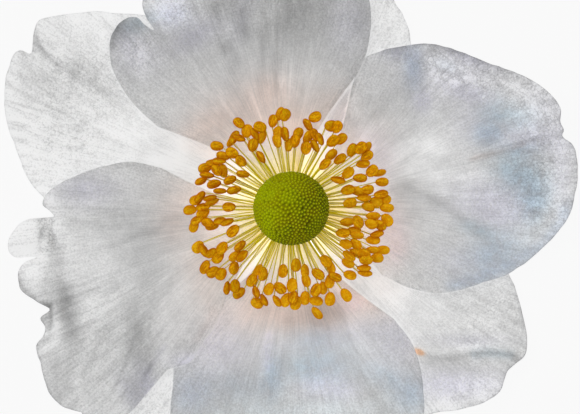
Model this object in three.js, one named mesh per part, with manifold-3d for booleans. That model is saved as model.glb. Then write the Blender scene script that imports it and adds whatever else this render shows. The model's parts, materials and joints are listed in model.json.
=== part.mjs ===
// An anemone flower with eight broad white tepals, picked just under the bloom and lying face up.
// Millimetres, +Z up. The flower's axis is the Z axis, and z = 0 is the surface that it lies on,
// touched only by the flat bellies of the four back tepals.

import * as THREE from "three";
import { ConvexHull } from "three/addons/math/ConvexHull.js";
import { mergeVertices } from "three/addons/utils/BufferGeometryUtils.js";
import Module from "manifold-3d";

const wasm = await Module();
wasm.setup();

// Driving dimensions of the tepals.
const BLADE = 0.6; // thickness
const LAYER = 1.15; // height from one layer to the next
const CLAW_RADIUS = 2.56; // where their narrow feet end, 0.3 clear of the receptacle
const CLAW_DROP = 1.55; // from the feet down to the bellies
const BELLY_RADIUS = 16; // where the back tepals touch the surface
const BELLY_DEPTH = 0.16; // how far the bellies are pressed flat
const TIP_RADIUS = 36;
const TIP_RISE = 3.6; // from the bellies up to the tips
const CLAW_SHARE = 0.55; // share of its full angle that a tepal fills at its foot
const FULL_RADIUS = 25; // where it fills all of it
// Slow waves round the flower: how many, how high at the tips and turned by how many radians.
const TIP_WAVES = [
  { count: 7, height: 0.9, phase: 1 },
  { count: 11, height: 0.6, phase: 4 },
];
const LIFT_STARTS = 3; // radii over which a side that lies on its neighbour is raised
const LIFT_ENDS = 8;
const RUFFLE_STARTS = 0.7; // how far out towards the margin the small waves begin
const RUFFLE_FADE = 8; // degrees over which they die away at either end
const LEAST_TURN = 0.05; // degrees between points of a margin where it runs straight outwards
const EVEN_WITHIN = 6; // degrees on either side over which notches in a margin are evened out
const EVEN_LIMIT = 1.2; // the evened margin is at most this many times as far out as the real one
const NOTCHES_START = 0.5; // how far out towards the margin its notches begin to show

// The receptacle with the cut end of the stalk below it, as [radius, height] from the bottom up.
const RECEPTACLE = [
  [0, 0.15], [0.95, 0.15], [0.95, 0.8], [2.2, 1.45], [2.2, 3.0], [2.0, 3.2], [1.45, 3.25],
  [1.45, 4.35], [1.15, 4.6], [0, 4.6],
];
const ROUND_SIDES = 24;

// The ball of carpels. The real one has more than a thousand: these are fewer and larger.
const CARPELS = 240;
const BALL_RADIUS = 4.5; // over the tips
const CARPEL_RELIEF = 0.35;
const BALL_CENTRE_Z = 8.4;
const BALL_FLAT_Z = 4.9; // underside, 0.3 over the neck of the receptacle

// The stamens, and the collar round the neck that they grow from.
const SEED = 41;
const COLLAR = { inner: 1.8, outer: 3.2, low: 3.55, high: 4.45 };
const ROOT_RADIUS = 2.5; // well inside the collar
const FILAMENT_RADIUS = 0.17;
const FILAMENT_SAG = 0.36; // share of its rise that a filament has made half-way out
const ANTHER_LENGTH = 1.75;
const ANTHER_RADIUS = 0.62;
const STAMEN_SIDES = 4;
const UNEVEN = { turn: 0.3, drift: 3, radius: 0.9, height: 0.5 }; // spacings, degrees, mm, mm
// From the ball outwards: how many stamens, where their anthers are and where they leave the collar.
const STAMEN_RINGS = [
  { count: 22, radius: 6.9, height: 8.2, root: 4.15 },
  { count: 28, radius: 8.8, height: 7.5, root: 4.05 },
  { count: 32, radius: 10.7, height: 6.4, root: 3.95 },
  { count: 34, radius: 12.5, height: 5.1, root: 3.8 },
];

// The margins of the tepals seen from above, counter-clockwise from one shoulder to the other.
// axis is the direction of the tepal, level its layer, lift the directions between which one side
// rises over a neighbour, and ruffle the height of the small waves of a free margin, the angle
// that each takes up and where they start and stop, counted from the axis. Angles are in degrees.
const TEPALS = [
  {
    name: "tepal_front_top",
    axis: 104,
    level: 1,
    lift: { from: 84, to: 73 },
    ruffle: { height: 0.7, period: 13, from: -20, to: 46 },
    margin: [
      [8.2, 16.7], [9.2, 18.9], [9.7, 21.2], [9.9, 23.5], [9.6, 25.8], [9.0, 28.0], [7.4, 30.2],
      [4.4, 32.0], [0.8, 33.0], [-3.2, 33.4], [-7.6, 32.9], [-11.8, 31.5], [-15.3, 29.4],
      [-17.5, 27.2], [-18.4, 25.2], [-17.9, 23.6], [-17.0, 22.1], [-18.2, 22.8], [-19.0, 23.6],
      [-20.2, 23.6], [-21.4, 22.8], [-22.2, 21.6], [-22.5, 19.9], [-22.3, 17.9], [-21.5, 15.9],
      [-20.3, 13.9], [-18.6, 12.0], [-16.6, 10.2],
    ],
  },
  {
    name: "tepal_front_right",
    axis: 12,
    level: 1,
    ruffle: { height: 0.7, period: 14, from: -52, to: 44 },
    margin: [
      [11.3, -8.3], [15.1, -10.0], [19.1, -10.5], [23.5, -9.3], [26.9, -8.1], [30.8, -5.1],
      [33.9, -1.3], [35.0, 2.3], [35.1, 5.4], [34.5, 7.8], [33.3, 9.0], [33.5, 9.6], [33.1, 10.6],
      [33.1, 12.3], [31.5, 14.4], [29.1, 16.2], [24.5, 18.0], [20.4, 19.6], [17.0, 20.4],
      [13.6, 20.1], [11.3, 19.6], [9.3, 18.8], [8.4, 17.3], [7.7, 15.6], [7.3, 13.9], [7.0, 12.2],
    ],
  },
  {
    name: "tepal_front_bottom",
    axis: 270,
    level: 1,
    ruffle: { height: 0.6, period: 12, from: -24, to: 46 },
    margin: [
      [-10.7, -13.0], [-12.6, -15.8], [-14.0, -18.2], [-14.6, -20.0], [-14.7, -22.2], [-15.0, -25.3],
      [-14.9, -27.5], [-13.8, -29.8], [-11.5, -31.7], [-8.0, -33.0], [-4.0, -33.4], [-0.8, -32.9],
      [2.2, -33.3], [5.6, -33.3], [9.2, -32.5], [12.6, -30.9], [15.2, -28.4], [16.4, -25.3],
      [16.4, -22.8], [16.0, -19.6], [14.9, -16.6], [12.8, -13.8],
    ],
  },
  {
    name: "tepal_front_left",
    axis: 198,
    level: 1,
    lift: { from: 217, to: 229 },
    ruffle: { height: 1.2, period: 9, from: -34, to: 24 },
    margin: [
      [-16.1, 5.0], [-19.9, 5.8], [-22.7, 5.4], [-25.1, 4.7], [-27.0, 3.9], [-29.0, 2.9],
      [-30.2, 1.8], [-30.7, 0.5], [-29.9, -0.3], [-29.3, -1.0], [-30.7, -1.1], [-31.9, -1.2],
      [-33.3, -1.8], [-34.2, -2.8], [-34.8, -4.2], [-34.7, -5.4], [-34.0, -6.0], [-31.4, -6.0],
      [-32.9, -6.7], [-33.6, -7.7], [-33.6, -8.8], [-33.2, -10.0], [-32.3, -10.9], [-31.0, -11.7],
      [-29.8, -12.5], [-30.8, -13.5], [-30.2, -14.6], [-30.4, -15.6], [-31.2, -16.7],
      [-31.0, -17.9], [-30.4, -19.5], [-30.0, -21.3], [-29.4, -22.8], [-27.9, -24.2],
      [-25.8, -25.0], [-23.4, -25.8], [-21.0, -25.8], [-19.6, -24.9], [-17.8, -22.8],
      [-16.4, -21.2], [-15.4, -20.0], [-14.1, -19.6], [-12.4, -18.9], [-11.1, -16.8],
      [-9.6, -14.9], [-8.8, -13.2],
    ],
  },
  {
    name: "tepal_back_upper_right",
    axis: 72,
    level: 0,
    margin: [
      [11.5, 7.8], [13.4, 9.0], [15.2, 11.5], [15.9, 14.6], [15.6, 18.0], [14.9, 20.5],
      [14.6, 22.3], [13.9, 24.0], [12.9, 25.6], [12.5, 27.6], [11.9, 29.7], [10.2, 31.6],
      [7.4, 32.8], [4.2, 33.1], [1.2, 32.2], [-1.0, 30.0], [-2.2, 26.5], [-2.4, 22.0],
      [-2.0, 17.5],
    ],
  },
  {
    name: "tepal_back_upper_left",
    axis: 153,
    level: 0,
    margin: [
      [-14.4, 22.1], [-16.4, 23.7], [-18.8, 24.1], [-22.0, 24.3], [-24.5, 24.5], [-26.8, 24.2],
      [-29.5, 23.7], [-30.8, 23.3], [-31.5, 22.1], [-31.7, 20.6], [-32.0, 19.0], [-33.1, 19.35],
      [-33.9, 18.9], [-34.4, 17.4], [-34.9, 15.8], [-35.2, 13.4], [-35.1, 11.1], [-34.7, 9.4],
      [-33.8, 6.8], [-32.6, 3.7], [-30.8, 1.4], [-28.6, -0.3], [-25.5, -1.5], [-21.5, -1.8],
      [-17.6, -1.5],
    ],
  },
  {
    name: "tepal_back_lower_left",
    axis: 233,
    level: 0,
    margin: [
      [-15.5, -5.8], [-19.5, -8.3], [-22.8, -11.5], [-25.0, -15.5], [-26.3, -19.5],
      [-26.6, -22.6], [-25.6, -25.6], [-23.3, -28.2], [-20.3, -30.2], [-16.8, -31.3],
      [-13.4, -31.2], [-10.4, -29.6], [-8.0, -27.0], [-6.2, -23.5], [-5.0, -19.5], [-4.3, -16.0],
    ],
  },
  {
    name: "tepal_back_lower_right",
    axis: 323,
    level: 0,
    margin: [
      [8.9, -20.0], [10.9, -23.4], [13.4, -25.4], [16.0, -25.8], [18.4, -25.2], [20.6, -24.9],
      [23.5, -24.0], [25.8, -22.5], [26.6, -20.4], [27.7, -19.3], [29.0, -18.2], [29.3, -16.2],
      [29.0, -14.1], [28.5, -11.9], [27.9, -10.0], [27.2, -8.4], [25.6, -6.0], [23.2, -3.6],
      [20.1, -0.9], [16.8, 1.3], [13.6, 2.6],
    ],
  },
];
const SAMPLES_PER_POINT = 2; // along a margin
// Across a tepal from its foot to its margin: how far out each row is, and its share of the points.
const ROWS = [
  { t: 0, share: 0.15 },
  { t: 0.15, share: 0.2 },
  { t: 0.33, share: 0.33 },
  { t: 0.5, share: 0.5 },
  { t: 0.68, share: 0.75 },
  { t: 0.86, share: 1 },
  { t: 1, share: 1 },
];

const UP = new THREE.Vector3(0, 0, 1);
const rad = THREE.MathUtils.degToRad;
const deg = THREE.MathUtils.radToDeg;

// How far x has come from the first value to the second, which may be the lower one.
function shareOf(x, zeroAt, oneAt) {
  return THREE.MathUtils.clamp((x - zeroAt) / (oneAt - zeroAt), 0, 1);
}

// The same, leaving 0 and reaching 1 smoothly.
function smooth(x, zeroAt, oneAt) {
  const share = shareOf(x, zeroAt, oneAt);
  return share * share * (3 - 2 * share);
}

// A repeatable source of numbers from 0 to 1.
function makeRandom(seed) {
  let state = seed;
  return () => {
    state = (state * 1664525 + 1013904223) % 4294967296;
    return state / 4294967296;
  };
}

const colour = (hex, roughness) => new THREE.MeshStandardMaterial({ color: hex, roughness, metalness: 0 });

function toGeometry(points, triangles) {
  const geometry = new THREE.BufferGeometry();
  geometry.setAttribute("position", new THREE.Float32BufferAttribute(points.flat(), 3));
  geometry.setIndex(triangles.flat());
  return geometry;
}

function toSolid(geometry) {
  geometry.deleteAttribute("normal");
  geometry.deleteAttribute("uv");
  const merged = mergeVertices(geometry, 1e-4);
  const vertProperties = new Float32Array(merged.attributes.position.array);
  const triVerts = new Uint32Array(merged.index.array);
  return new wasm.Manifold(new wasm.Mesh({ numProp: 3, vertProperties, triVerts }));
}

function fromSolid(solid) {
  const mesh = solid.getMesh();
  const geometry = new THREE.BufferGeometry();
  geometry.setAttribute("position", new THREE.BufferAttribute(mesh.vertProperties, 3));
  geometry.setIndex(new THREE.BufferAttribute(mesh.triVerts, 1));
  return geometry;
}

// --- Tepals ---

// Height of the middle of the lowest layer. Every layer shares its waves, so they keep apart.
function layerHeight(radius, turn) {
  const inwards = (BELLY_RADIUS - radius) / (BELLY_RADIUS - CLAW_RADIUS);
  const outwards = (radius - BELLY_RADIUS) / (TIP_RADIUS - BELLY_RADIUS);
  let tip = TIP_RISE;
  for (const { count, height, phase } of TIP_WAVES) tip += height * Math.sin(count * turn + phase);
  const rise = inwards > 0 ? CLAW_DROP * inwards ** 2 : tip * outwards ** 2;
  return Math.max(rise - BELLY_DEPTH, 0) + BLADE / 2;
}

// How much of its full angle a tepal fills at a radius: it narrows to its foot like a spoon.
function spreadAt(radius) {
  const opened = Math.sin((Math.PI / 2) * shareOf(radius, CLAW_RADIUS, FULL_RADIUS));
  return CLAW_SHARE + (1 - CLAW_SHARE) * opened;
}

// How far a tepal stands above its layer, on the line at an angle from its axis, in degrees.
function standing(tepal, angle, radius, t) {
  let height = 0;
  if (tepal.lift) {
    const raised = smooth(tepal.axis + angle * spreadAt(radius), tepal.lift.from, tepal.lift.to);
    height += LAYER * raised * smooth(radius, LIFT_STARTS, LIFT_ENDS);
  }
  if (tepal.ruffle) {
    const { from, to, period } = tepal.ruffle;
    const free = smooth(angle, from, from + RUFFLE_FADE) * smooth(angle, to, to - RUFFLE_FADE);
    const wave = (1 - Math.cos((2 * Math.PI * (angle - from)) / period)) / 2;
    height += tepal.ruffle.height * wave * free * smooth(t, RUFFLE_STARTS, 1);
  }
  return height;
}

// A tepal's margin as lines from its foot: the angle of each from the axis, and how long it is.
function marginLines(tepal) {
  const places = tepal.margin.map(([x, y]) => new THREE.Vector3(x, y, 0));
  const curve = new THREE.CatmullRomCurve3(places, false, "centripetal");
  const lines = [];
  for (const place of curve.getPoints((places.length - 1) * SAMPLES_PER_POINT)) {
    const radius = place.length();
    place.applyAxisAngle(UP, -rad(tepal.axis));
    const angle = deg(Math.atan2(place.y, place.x)) / spreadAt(radius);
    const least = lines.length > 0 ? lines.at(-1).angle + LEAST_TURN : angle;
    lines.push({ angle: Math.max(angle, least), radius });
  }
  for (const line of lines) line.even = evenRadius(lines, line);
  return lines;
}

// The radius of a line with the notches evened out, as a mean over the lines beside it.
function evenRadius(lines, line) {
  let total = 0;
  let weights = 0;
  for (let i = 1; i < lines.length; i += 1) {
    const width = lines[i].angle - lines[i - 1].angle;
    const away = Math.abs((lines[i].angle + lines[i - 1].angle) / 2 - line.angle);
    const weight = width * shareOf(away, EVEN_WITHIN, 0);
    total += (weight * (lines[i].radius + lines[i - 1].radius)) / 2;
    weights += weight;
  }
  return Math.min(total / weights, line.radius * EVEN_LIMIT);
}

// The point of a tepal's middle surface t of the way out along one of those lines.
function tepalPoint(tepal, line, t) {
  const reach = line.even + (line.radius - line.even) * smooth(t, NOTCHES_START, 1);
  const radius = CLAW_RADIUS + (reach - CLAW_RADIUS) * t;
  const turn = rad(tepal.axis + line.angle * spreadAt(radius));
  const stands = LAYER * tepal.level + standing(tepal, line.angle, radius, t);
  return [radius * Math.cos(turn), radius * Math.sin(turn), layerHeight(radius, turn) + stands];
}

// Fills the strip between two rows of points, each given with its place along the margin.
function stitch(inner, outer, triangles) {
  let i = 0;
  let j = 0;
  while (i < inner.length - 1 || j < outer.length - 1) {
    const nextInner = i < inner.length - 1 ? inner[i + 1].place : Infinity;
    const nextOuter = j < outer.length - 1 ? outer[j + 1].place : Infinity;
    if (nextInner < nextOuter) {
      triangles.push([inner[i].index, outer[j].index, inner[i + 1].index]);
      i += 1;
    } else {
      triangles.push([inner[i].index, outer[j].index, outer[j + 1].index]);
      j += 1;
    }
  }
}

// Gives a sheet of triangles its thickness, split alike on both faces, and walls at its margin.
// Both faces are moved straight up or down, further where the sheet slopes, so they never cross.
function thicken(points, triangles) {
  const sheet = toGeometry(points, triangles);
  sheet.computeVertexNormals();
  const half = points.map((_, i) => BLADE / 2 / sheet.attributes.normal.getZ(i));
  const side = (sign) => points.map(([x, y, z], i) => [x, y, Math.max(z + sign * half[i], 0)]);
  const under = points.length;
  const closed = [...triangles, ...triangles.map(([a, b, c]) => [a + under, c + under, b + under])];
  const edges = new Set(triangles.flatMap(([a, b, c]) => [`${a},${b}`, `${b},${c}`, `${c},${a}`]));
  for (const edge of edges) {
    const [a, b] = edge.split(",").map(Number);
    if (edges.has(`${b},${a}`)) continue;
    closed.push([b, a, a + under], [b, a + under, b + under]);
  }
  return toGeometry([...side(1), ...side(-1)], closed);
}

function tepalGeometry(tepal) {
  const lines = marginLines(tepal);
  const points = [];
  const triangles = [];
  let before = null;
  for (const { t, share } of ROWS) {
    const row = [];
    const steps = Math.round((lines.length - 1) * share);
    for (let i = 0; i <= steps; i += 1) {
      const place = Math.round(((lines.length - 1) * i) / steps);
      row.push({ place, index: points.length });
      points.push(tepalPoint(tepal, lines[place], t));
    }
    if (before) stitch(before, row, triangles);
    before = row;
  }
  return thicken(points, triangles);
}

// --- Round pieces ---

// Turns a profile of [radius, height] about the Z axis.
function latheGeometry(profile) {
  const points = profile.map(([radius, height]) => new THREE.Vector2(radius, height));
  return new THREE.LatheGeometry(points, ROUND_SIDES).rotateX(Math.PI / 2);
}

// --- Stamens: a collar with all the filaments and anthers, fused ---

// One stamen, from its root inside the collar to the tip of its anther, as a closed tube.
function stamenGeometry(turn, drift, radius, height, rootHeight) {
  const place = (r, z, angle) => new THREE.Vector3(r * Math.cos(angle), r * Math.sin(angle), z);
  const root = place(ROOT_RADIUS, rootHeight, turn);
  const anther = place(radius, height, turn + drift);
  const bend = place((ROOT_RADIUS + radius) / 2, rootHeight + (height - rootHeight) * FILAMENT_SAG, turn);
  const path = new THREE.QuadraticBezierCurve3(root, bend, anther);
  const ahead = path.getTangent(1);
  const across = new THREE.Vector3().crossVectors(UP, ahead).normalize();
  const above = new THREE.Vector3().crossVectors(ahead, across);
  const along = (share) => anther.clone().addScaledVector(ahead, (share * ANTHER_LENGTH) / 2);
  const rings = [
    { at: root, size: FILAMENT_RADIUS },
    { at: path.getPoint(0.5), size: FILAMENT_RADIUS },
    { at: along(-1), size: FILAMENT_RADIUS },
    { at: along(-0.5), size: ANTHER_RADIUS },
    { at: along(0.5), size: ANTHER_RADIUS },
  ];
  const points = [];
  for (const { at, size } of rings) {
    for (let side = 0; side < STAMEN_SIDES; side += 1) {
      const angle = (2 * Math.PI * (side + 0.5)) / STAMEN_SIDES;
      const point = at.clone().addScaledVector(across, size * Math.cos(angle));
      points.push(point.addScaledVector(above, size * Math.sin(angle)).toArray());
    }
  }
  const last = points.length - STAMEN_SIDES;
  const start = points.push(root.toArray()) - 1;
  const end = points.push(along(1).toArray()) - 1;
  const triangles = [];
  for (let side = 0; side < STAMEN_SIDES; side += 1) {
    const next = (side + 1) % STAMEN_SIDES;
    triangles.push([start, next, side], [end, last + side, last + next]);
    for (let low = 0; low < last; low += STAMEN_SIDES) {
      const high = low + STAMEN_SIDES;
      triangles.push([low + side, low + next, high + side], [low + next, high + next, high + side]);
    }
  }
  return toGeometry(points, triangles);
}

function stamensGeometry() {
  const random = makeRandom(SEED);
  const { inner, outer, low, high } = COLLAR;
  const collar = latheGeometry([[inner, low], [outer, low], [outer, high], [inner, high], [inner, low]]);
  const solids = [toSolid(collar)];
  STAMEN_RINGS.forEach((ring, number) => {
    for (let i = 0; i < ring.count; i += 1) {
      const place = i + number / 2 + UNEVEN.turn * (random() - 0.5);
      const turn = (2 * Math.PI * place) / ring.count;
      const drift = rad(UNEVEN.drift) * (random() - 0.5);
      const radius = ring.radius + UNEVEN.radius * (random() - 0.5);
      const height = ring.height + UNEVEN.height * (random() - 0.5);
      solids.push(toSolid(stamenGeometry(turn, drift, radius, height, ring.root)));
    }
  });
  return fromSolid(wasm.Manifold.union(solids));
}

// --- Carpels: a ball with a raised tip for each carpel ---

// Points spread evenly over a ball of radius 1, in the spiral that the carpels grow in.
function spiralPoints(count) {
  const goldenTurn = Math.PI * (3 - Math.sqrt(5));
  return Array.from({ length: count }, (_, i) => {
    const height = 1 - (2 * i + 1) / count;
    const level = Math.sqrt(1 - height * height);
    return new THREE.Vector3(level * Math.cos(i * goldenTurn), level * Math.sin(i * goldenTurn), height);
  });
}

// Each tip is joined to the valleys round it, which lie at the middles of the faces between tips.
function carpelsGeometry() {
  const tips = spiralPoints(CARPELS);
  const faces = new ConvexHull().setFromPoints(tips).faces;
  const valleys = faces.map((face) => face.normal.clone().multiplyScalar(BALL_RADIUS - CARPEL_RELIEF));
  const points = [...tips.map((tip) => tip.clone().multiplyScalar(BALL_RADIUS)), ...valleys];
  const tipNumber = new Map(tips.map((tip, i) => [tip, i]));
  const valleyNumber = new Map(faces.map((face, i) => [face, tips.length + i]));
  const triangles = [];
  for (const face of faces) {
    for (let corner = 0; corner < 3; corner += 1) {
      const edge = face.getEdge(corner);
      const tip = tipNumber.get(edge.head().point);
      triangles.push([tip, valleyNumber.get(face), valleyNumber.get(edge.twin.face)]);
    }
  }
  const ball = toSolid(toGeometry(points.map((point) => point.toArray()), triangles));
  const size = 2 * BALL_RADIUS + 1;
  const below = new THREE.BoxGeometry(size, size, size);
  below.translate(0, 0, BALL_FLAT_Z - BALL_CENTRE_Z - size / 2);
  return fromSolid(ball.subtract(toSolid(below))).translate(0, 0, BALL_CENTRE_Z);
}

// --- The flower ---

const flower = new THREE.Group();

function add(name, geometry, material) {
  const mesh = new THREE.Mesh(geometry, material);
  mesh.name = name;
  flower.add(mesh);
}

const frontWhite = colour(0xd7d9dc, 0.6);
const backWhite = colour(0xe9e9e8, 0.6);
for (const tepal of TEPALS) {
  add(tepal.name, tepalGeometry(tepal), tepal.level > 0 ? frontWhite : backWhite);
}
add("receptacle", latheGeometry(RECEPTACLE), colour(0x9aa646, 0.6));
add("stamens", stamensGeometry(), colour(0xcf9412, 0.75));
add("carpels", carpelsGeometry(), colour(0x93a10a, 0.45));

export default flower;
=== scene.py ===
"""The looks of an anemone flower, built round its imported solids: petals with veins, folds and curls, the full
count of stamens and carpels, and a cut stalk, on a pale floor in soft light. Lengths are in millimetres up to
add_piece, which turns them into metres. The petals follow the same margins and rules as the solids. Places
marked px are pixels of the 580 x 414 photograph, which looks straight down on the flower."""

import json
import math

import bpy
import numpy as np
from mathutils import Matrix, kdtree

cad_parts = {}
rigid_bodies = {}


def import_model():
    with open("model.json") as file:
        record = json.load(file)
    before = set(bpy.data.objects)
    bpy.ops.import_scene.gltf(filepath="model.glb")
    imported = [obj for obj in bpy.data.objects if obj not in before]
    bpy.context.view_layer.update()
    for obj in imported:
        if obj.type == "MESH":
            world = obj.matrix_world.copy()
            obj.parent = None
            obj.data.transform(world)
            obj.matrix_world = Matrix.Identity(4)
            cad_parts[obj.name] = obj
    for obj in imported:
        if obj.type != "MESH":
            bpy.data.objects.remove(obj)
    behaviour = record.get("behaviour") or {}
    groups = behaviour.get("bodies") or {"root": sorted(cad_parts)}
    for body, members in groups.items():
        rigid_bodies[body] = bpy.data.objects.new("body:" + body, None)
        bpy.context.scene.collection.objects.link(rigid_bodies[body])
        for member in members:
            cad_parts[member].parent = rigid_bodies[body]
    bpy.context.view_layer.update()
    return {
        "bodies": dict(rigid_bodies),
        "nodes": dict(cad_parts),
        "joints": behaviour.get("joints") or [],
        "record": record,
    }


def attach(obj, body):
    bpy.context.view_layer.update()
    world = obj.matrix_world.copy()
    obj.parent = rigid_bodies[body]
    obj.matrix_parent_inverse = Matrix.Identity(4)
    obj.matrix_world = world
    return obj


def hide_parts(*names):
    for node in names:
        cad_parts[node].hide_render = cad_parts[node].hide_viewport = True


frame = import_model()

MM = 0.001
PX = 0.123  # millimetres to a pixel of the photograph, at the height MIDDLE_Z
SENSOR, LENS, MIDDLE_Z = 36, 135, 4.5
PHOTO_WIDTH = 580
EYE_HEIGHT = PX * PHOTO_WIDTH * LENS / SENSOR  # of the camera above MIDDLE_Z
AXIS_PX = (291.2, 208.4)  # where the flower's axis is in the photograph
MIDDLE_PX = (290, 207)

# ---------------------------------------------------------------- numbers shared with the solids

HALF_BLADE = 0.3
LAYER = 1.15
CLAW_RADIUS = 2.56
CLAW_DROP = 1.55
BELLY_RADIUS = 16
BELLY_DEPTH = 0.16
TIP_RADIUS = 36
TIP_RISE = 3.6
CLAW_SHARE = 0.55
FULL_RADIUS = 25
TIP_WAVES = [(7, 0.9, 1), (11, 0.6, 4)]  # count, height, phase
LIFT_STARTS, LIFT_ENDS = 3, 8
RUFFLE_STARTS, RUFFLE_FADE = 0.7, 8
LEAST_TURN = 0.05
EVEN_WITHIN = 6
EVEN_LIMIT = 1.2
NOTCHES_START = 0.5
BALL_RADIUS = 4.5
BALL_CENTRE_Z = 8.4

# ---------------------------------------------------------------- small helpers


def plan(px):
    """Places in the photograph, in pixels, as millimetres in the flower's frame."""
    px = np.asarray(px, float)
    return np.stack([(px[..., 0] - AXIS_PX[0]) * PX, (AXIS_PX[1] - px[..., 1]) * PX], -1)


def share_of(x, zero_at, one_at):
    return np.clip((x - zero_at) / (one_at - zero_at), 0, 1)


def smooth(x, zero_at, one_at):
    share = share_of(x, zero_at, one_at)
    return share * share * (3 - 2 * share)


def linear(srgb):
    """A colour or tone from 0 to 255 as the photograph stores it, in linear light from 0 to 1."""
    c = np.asarray(srgb, float) / 255
    return np.where(c <= 0.04045, c / 12.92, ((c + 0.055) / 1.055) ** 2.4)


def paint(*srgb):
    return (*(float(v) for v in linear(srgb)), 1.0)


def lattice(ix, iy, seed):
    """A repeatable value from -1 to 1 for each whole-numbered place."""
    n = (ix * 374761393 + iy * 668265263 + seed * 1442695041) & 0xFFFFFFFF
    n = ((n ^ (n >> 13)) * 1274126177) & 0xFFFFFFFF
    return ((n ^ (n >> 16)) & 0xFFFF) / 32767.5 - 1


def noise(x, y, seed):
    """Smooth noise from -1 to 1 over a plane, with bumps about one unit across."""
    x, y = np.broadcast_arrays(np.asarray(x, float), np.asarray(y, float))
    ix, iy = np.floor(x).astype(np.int64), np.floor(y).astype(np.int64)
    fx, fy = x - ix, y - iy
    fx, fy = fx * fx * (3 - 2 * fx), fy * fy * (3 - 2 * fy)
    low = lattice(ix, iy, seed) * (1 - fx) + lattice(ix + 1, iy, seed) * fx
    high = lattice(ix, iy + 1, seed) * (1 - fx) + lattice(ix + 1, iy + 1, seed) * fx
    return low * (1 - fy) + high * fy


def add_piece(name, points, faces, material, node, marks=None):
    """A piece that stands for a node of the solids. marks hold a value for each point, for its material."""
    mesh = bpy.data.meshes.new(name)
    mesh.from_pydata(np.asarray(points) * MM, [], faces)
    for mark, values in (marks or {}).items():
        attribute = mesh.attributes.new(mark, "FLOAT", "POINT")
        attribute.data.foreach_set("value", np.asarray(values, np.float32).ravel())
    mesh.shade_smooth()
    mesh.materials.append(material)
    piece = bpy.data.objects.new(name, mesh)
    bpy.context.scene.collection.objects.link(piece)
    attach(piece, "root")
    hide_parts(node)
    return piece


def grid_faces(rows, columns, wrap=False):
    """Four-sided faces over a grid of points stored row by row. With wrap the last column joins the first."""
    number = np.arange(rows * columns).reshape(rows, columns)
    if wrap:
        number = np.concatenate([number, number[:, :1]], axis=1)
    a, b, c, d = number[:-1, :-1], number[:-1, 1:], number[1:, 1:], number[1:, :-1]
    return np.stack([a, b, c, d], -1).reshape(-1, 4)


def closed_tube(rings, ends=None):
    """Points and faces of a tube through rings, closed at either end with a point: ends, or rings' middles."""
    steps, sides = rings.shape[:2]
    points = np.vstack([rings.reshape(-1, 3), *(ends or (rings[0].mean(0), rings[-1].mean(0)))])
    ring = np.arange(sides)
    after = np.roll(ring, -1)
    first, last = steps * sides, steps * sides + 1
    faces = [list(map(int, f)) for f in grid_faces(steps, sides, wrap=True)]
    faces += [[first, int(b), int(a)] for a, b in zip(ring, after)]
    faces += [[last, int(first - sides + a), int(first - sides + b)] for a, b in zip(ring, after)]
    return points, faces


def tree_of(points):
    """A tree that finds the point nearest to a place."""
    tree = kdtree.KDTree(len(points))
    for number, point in enumerate(points):
        tree.insert(point, number)
    tree.balance()
    return tree


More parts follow.
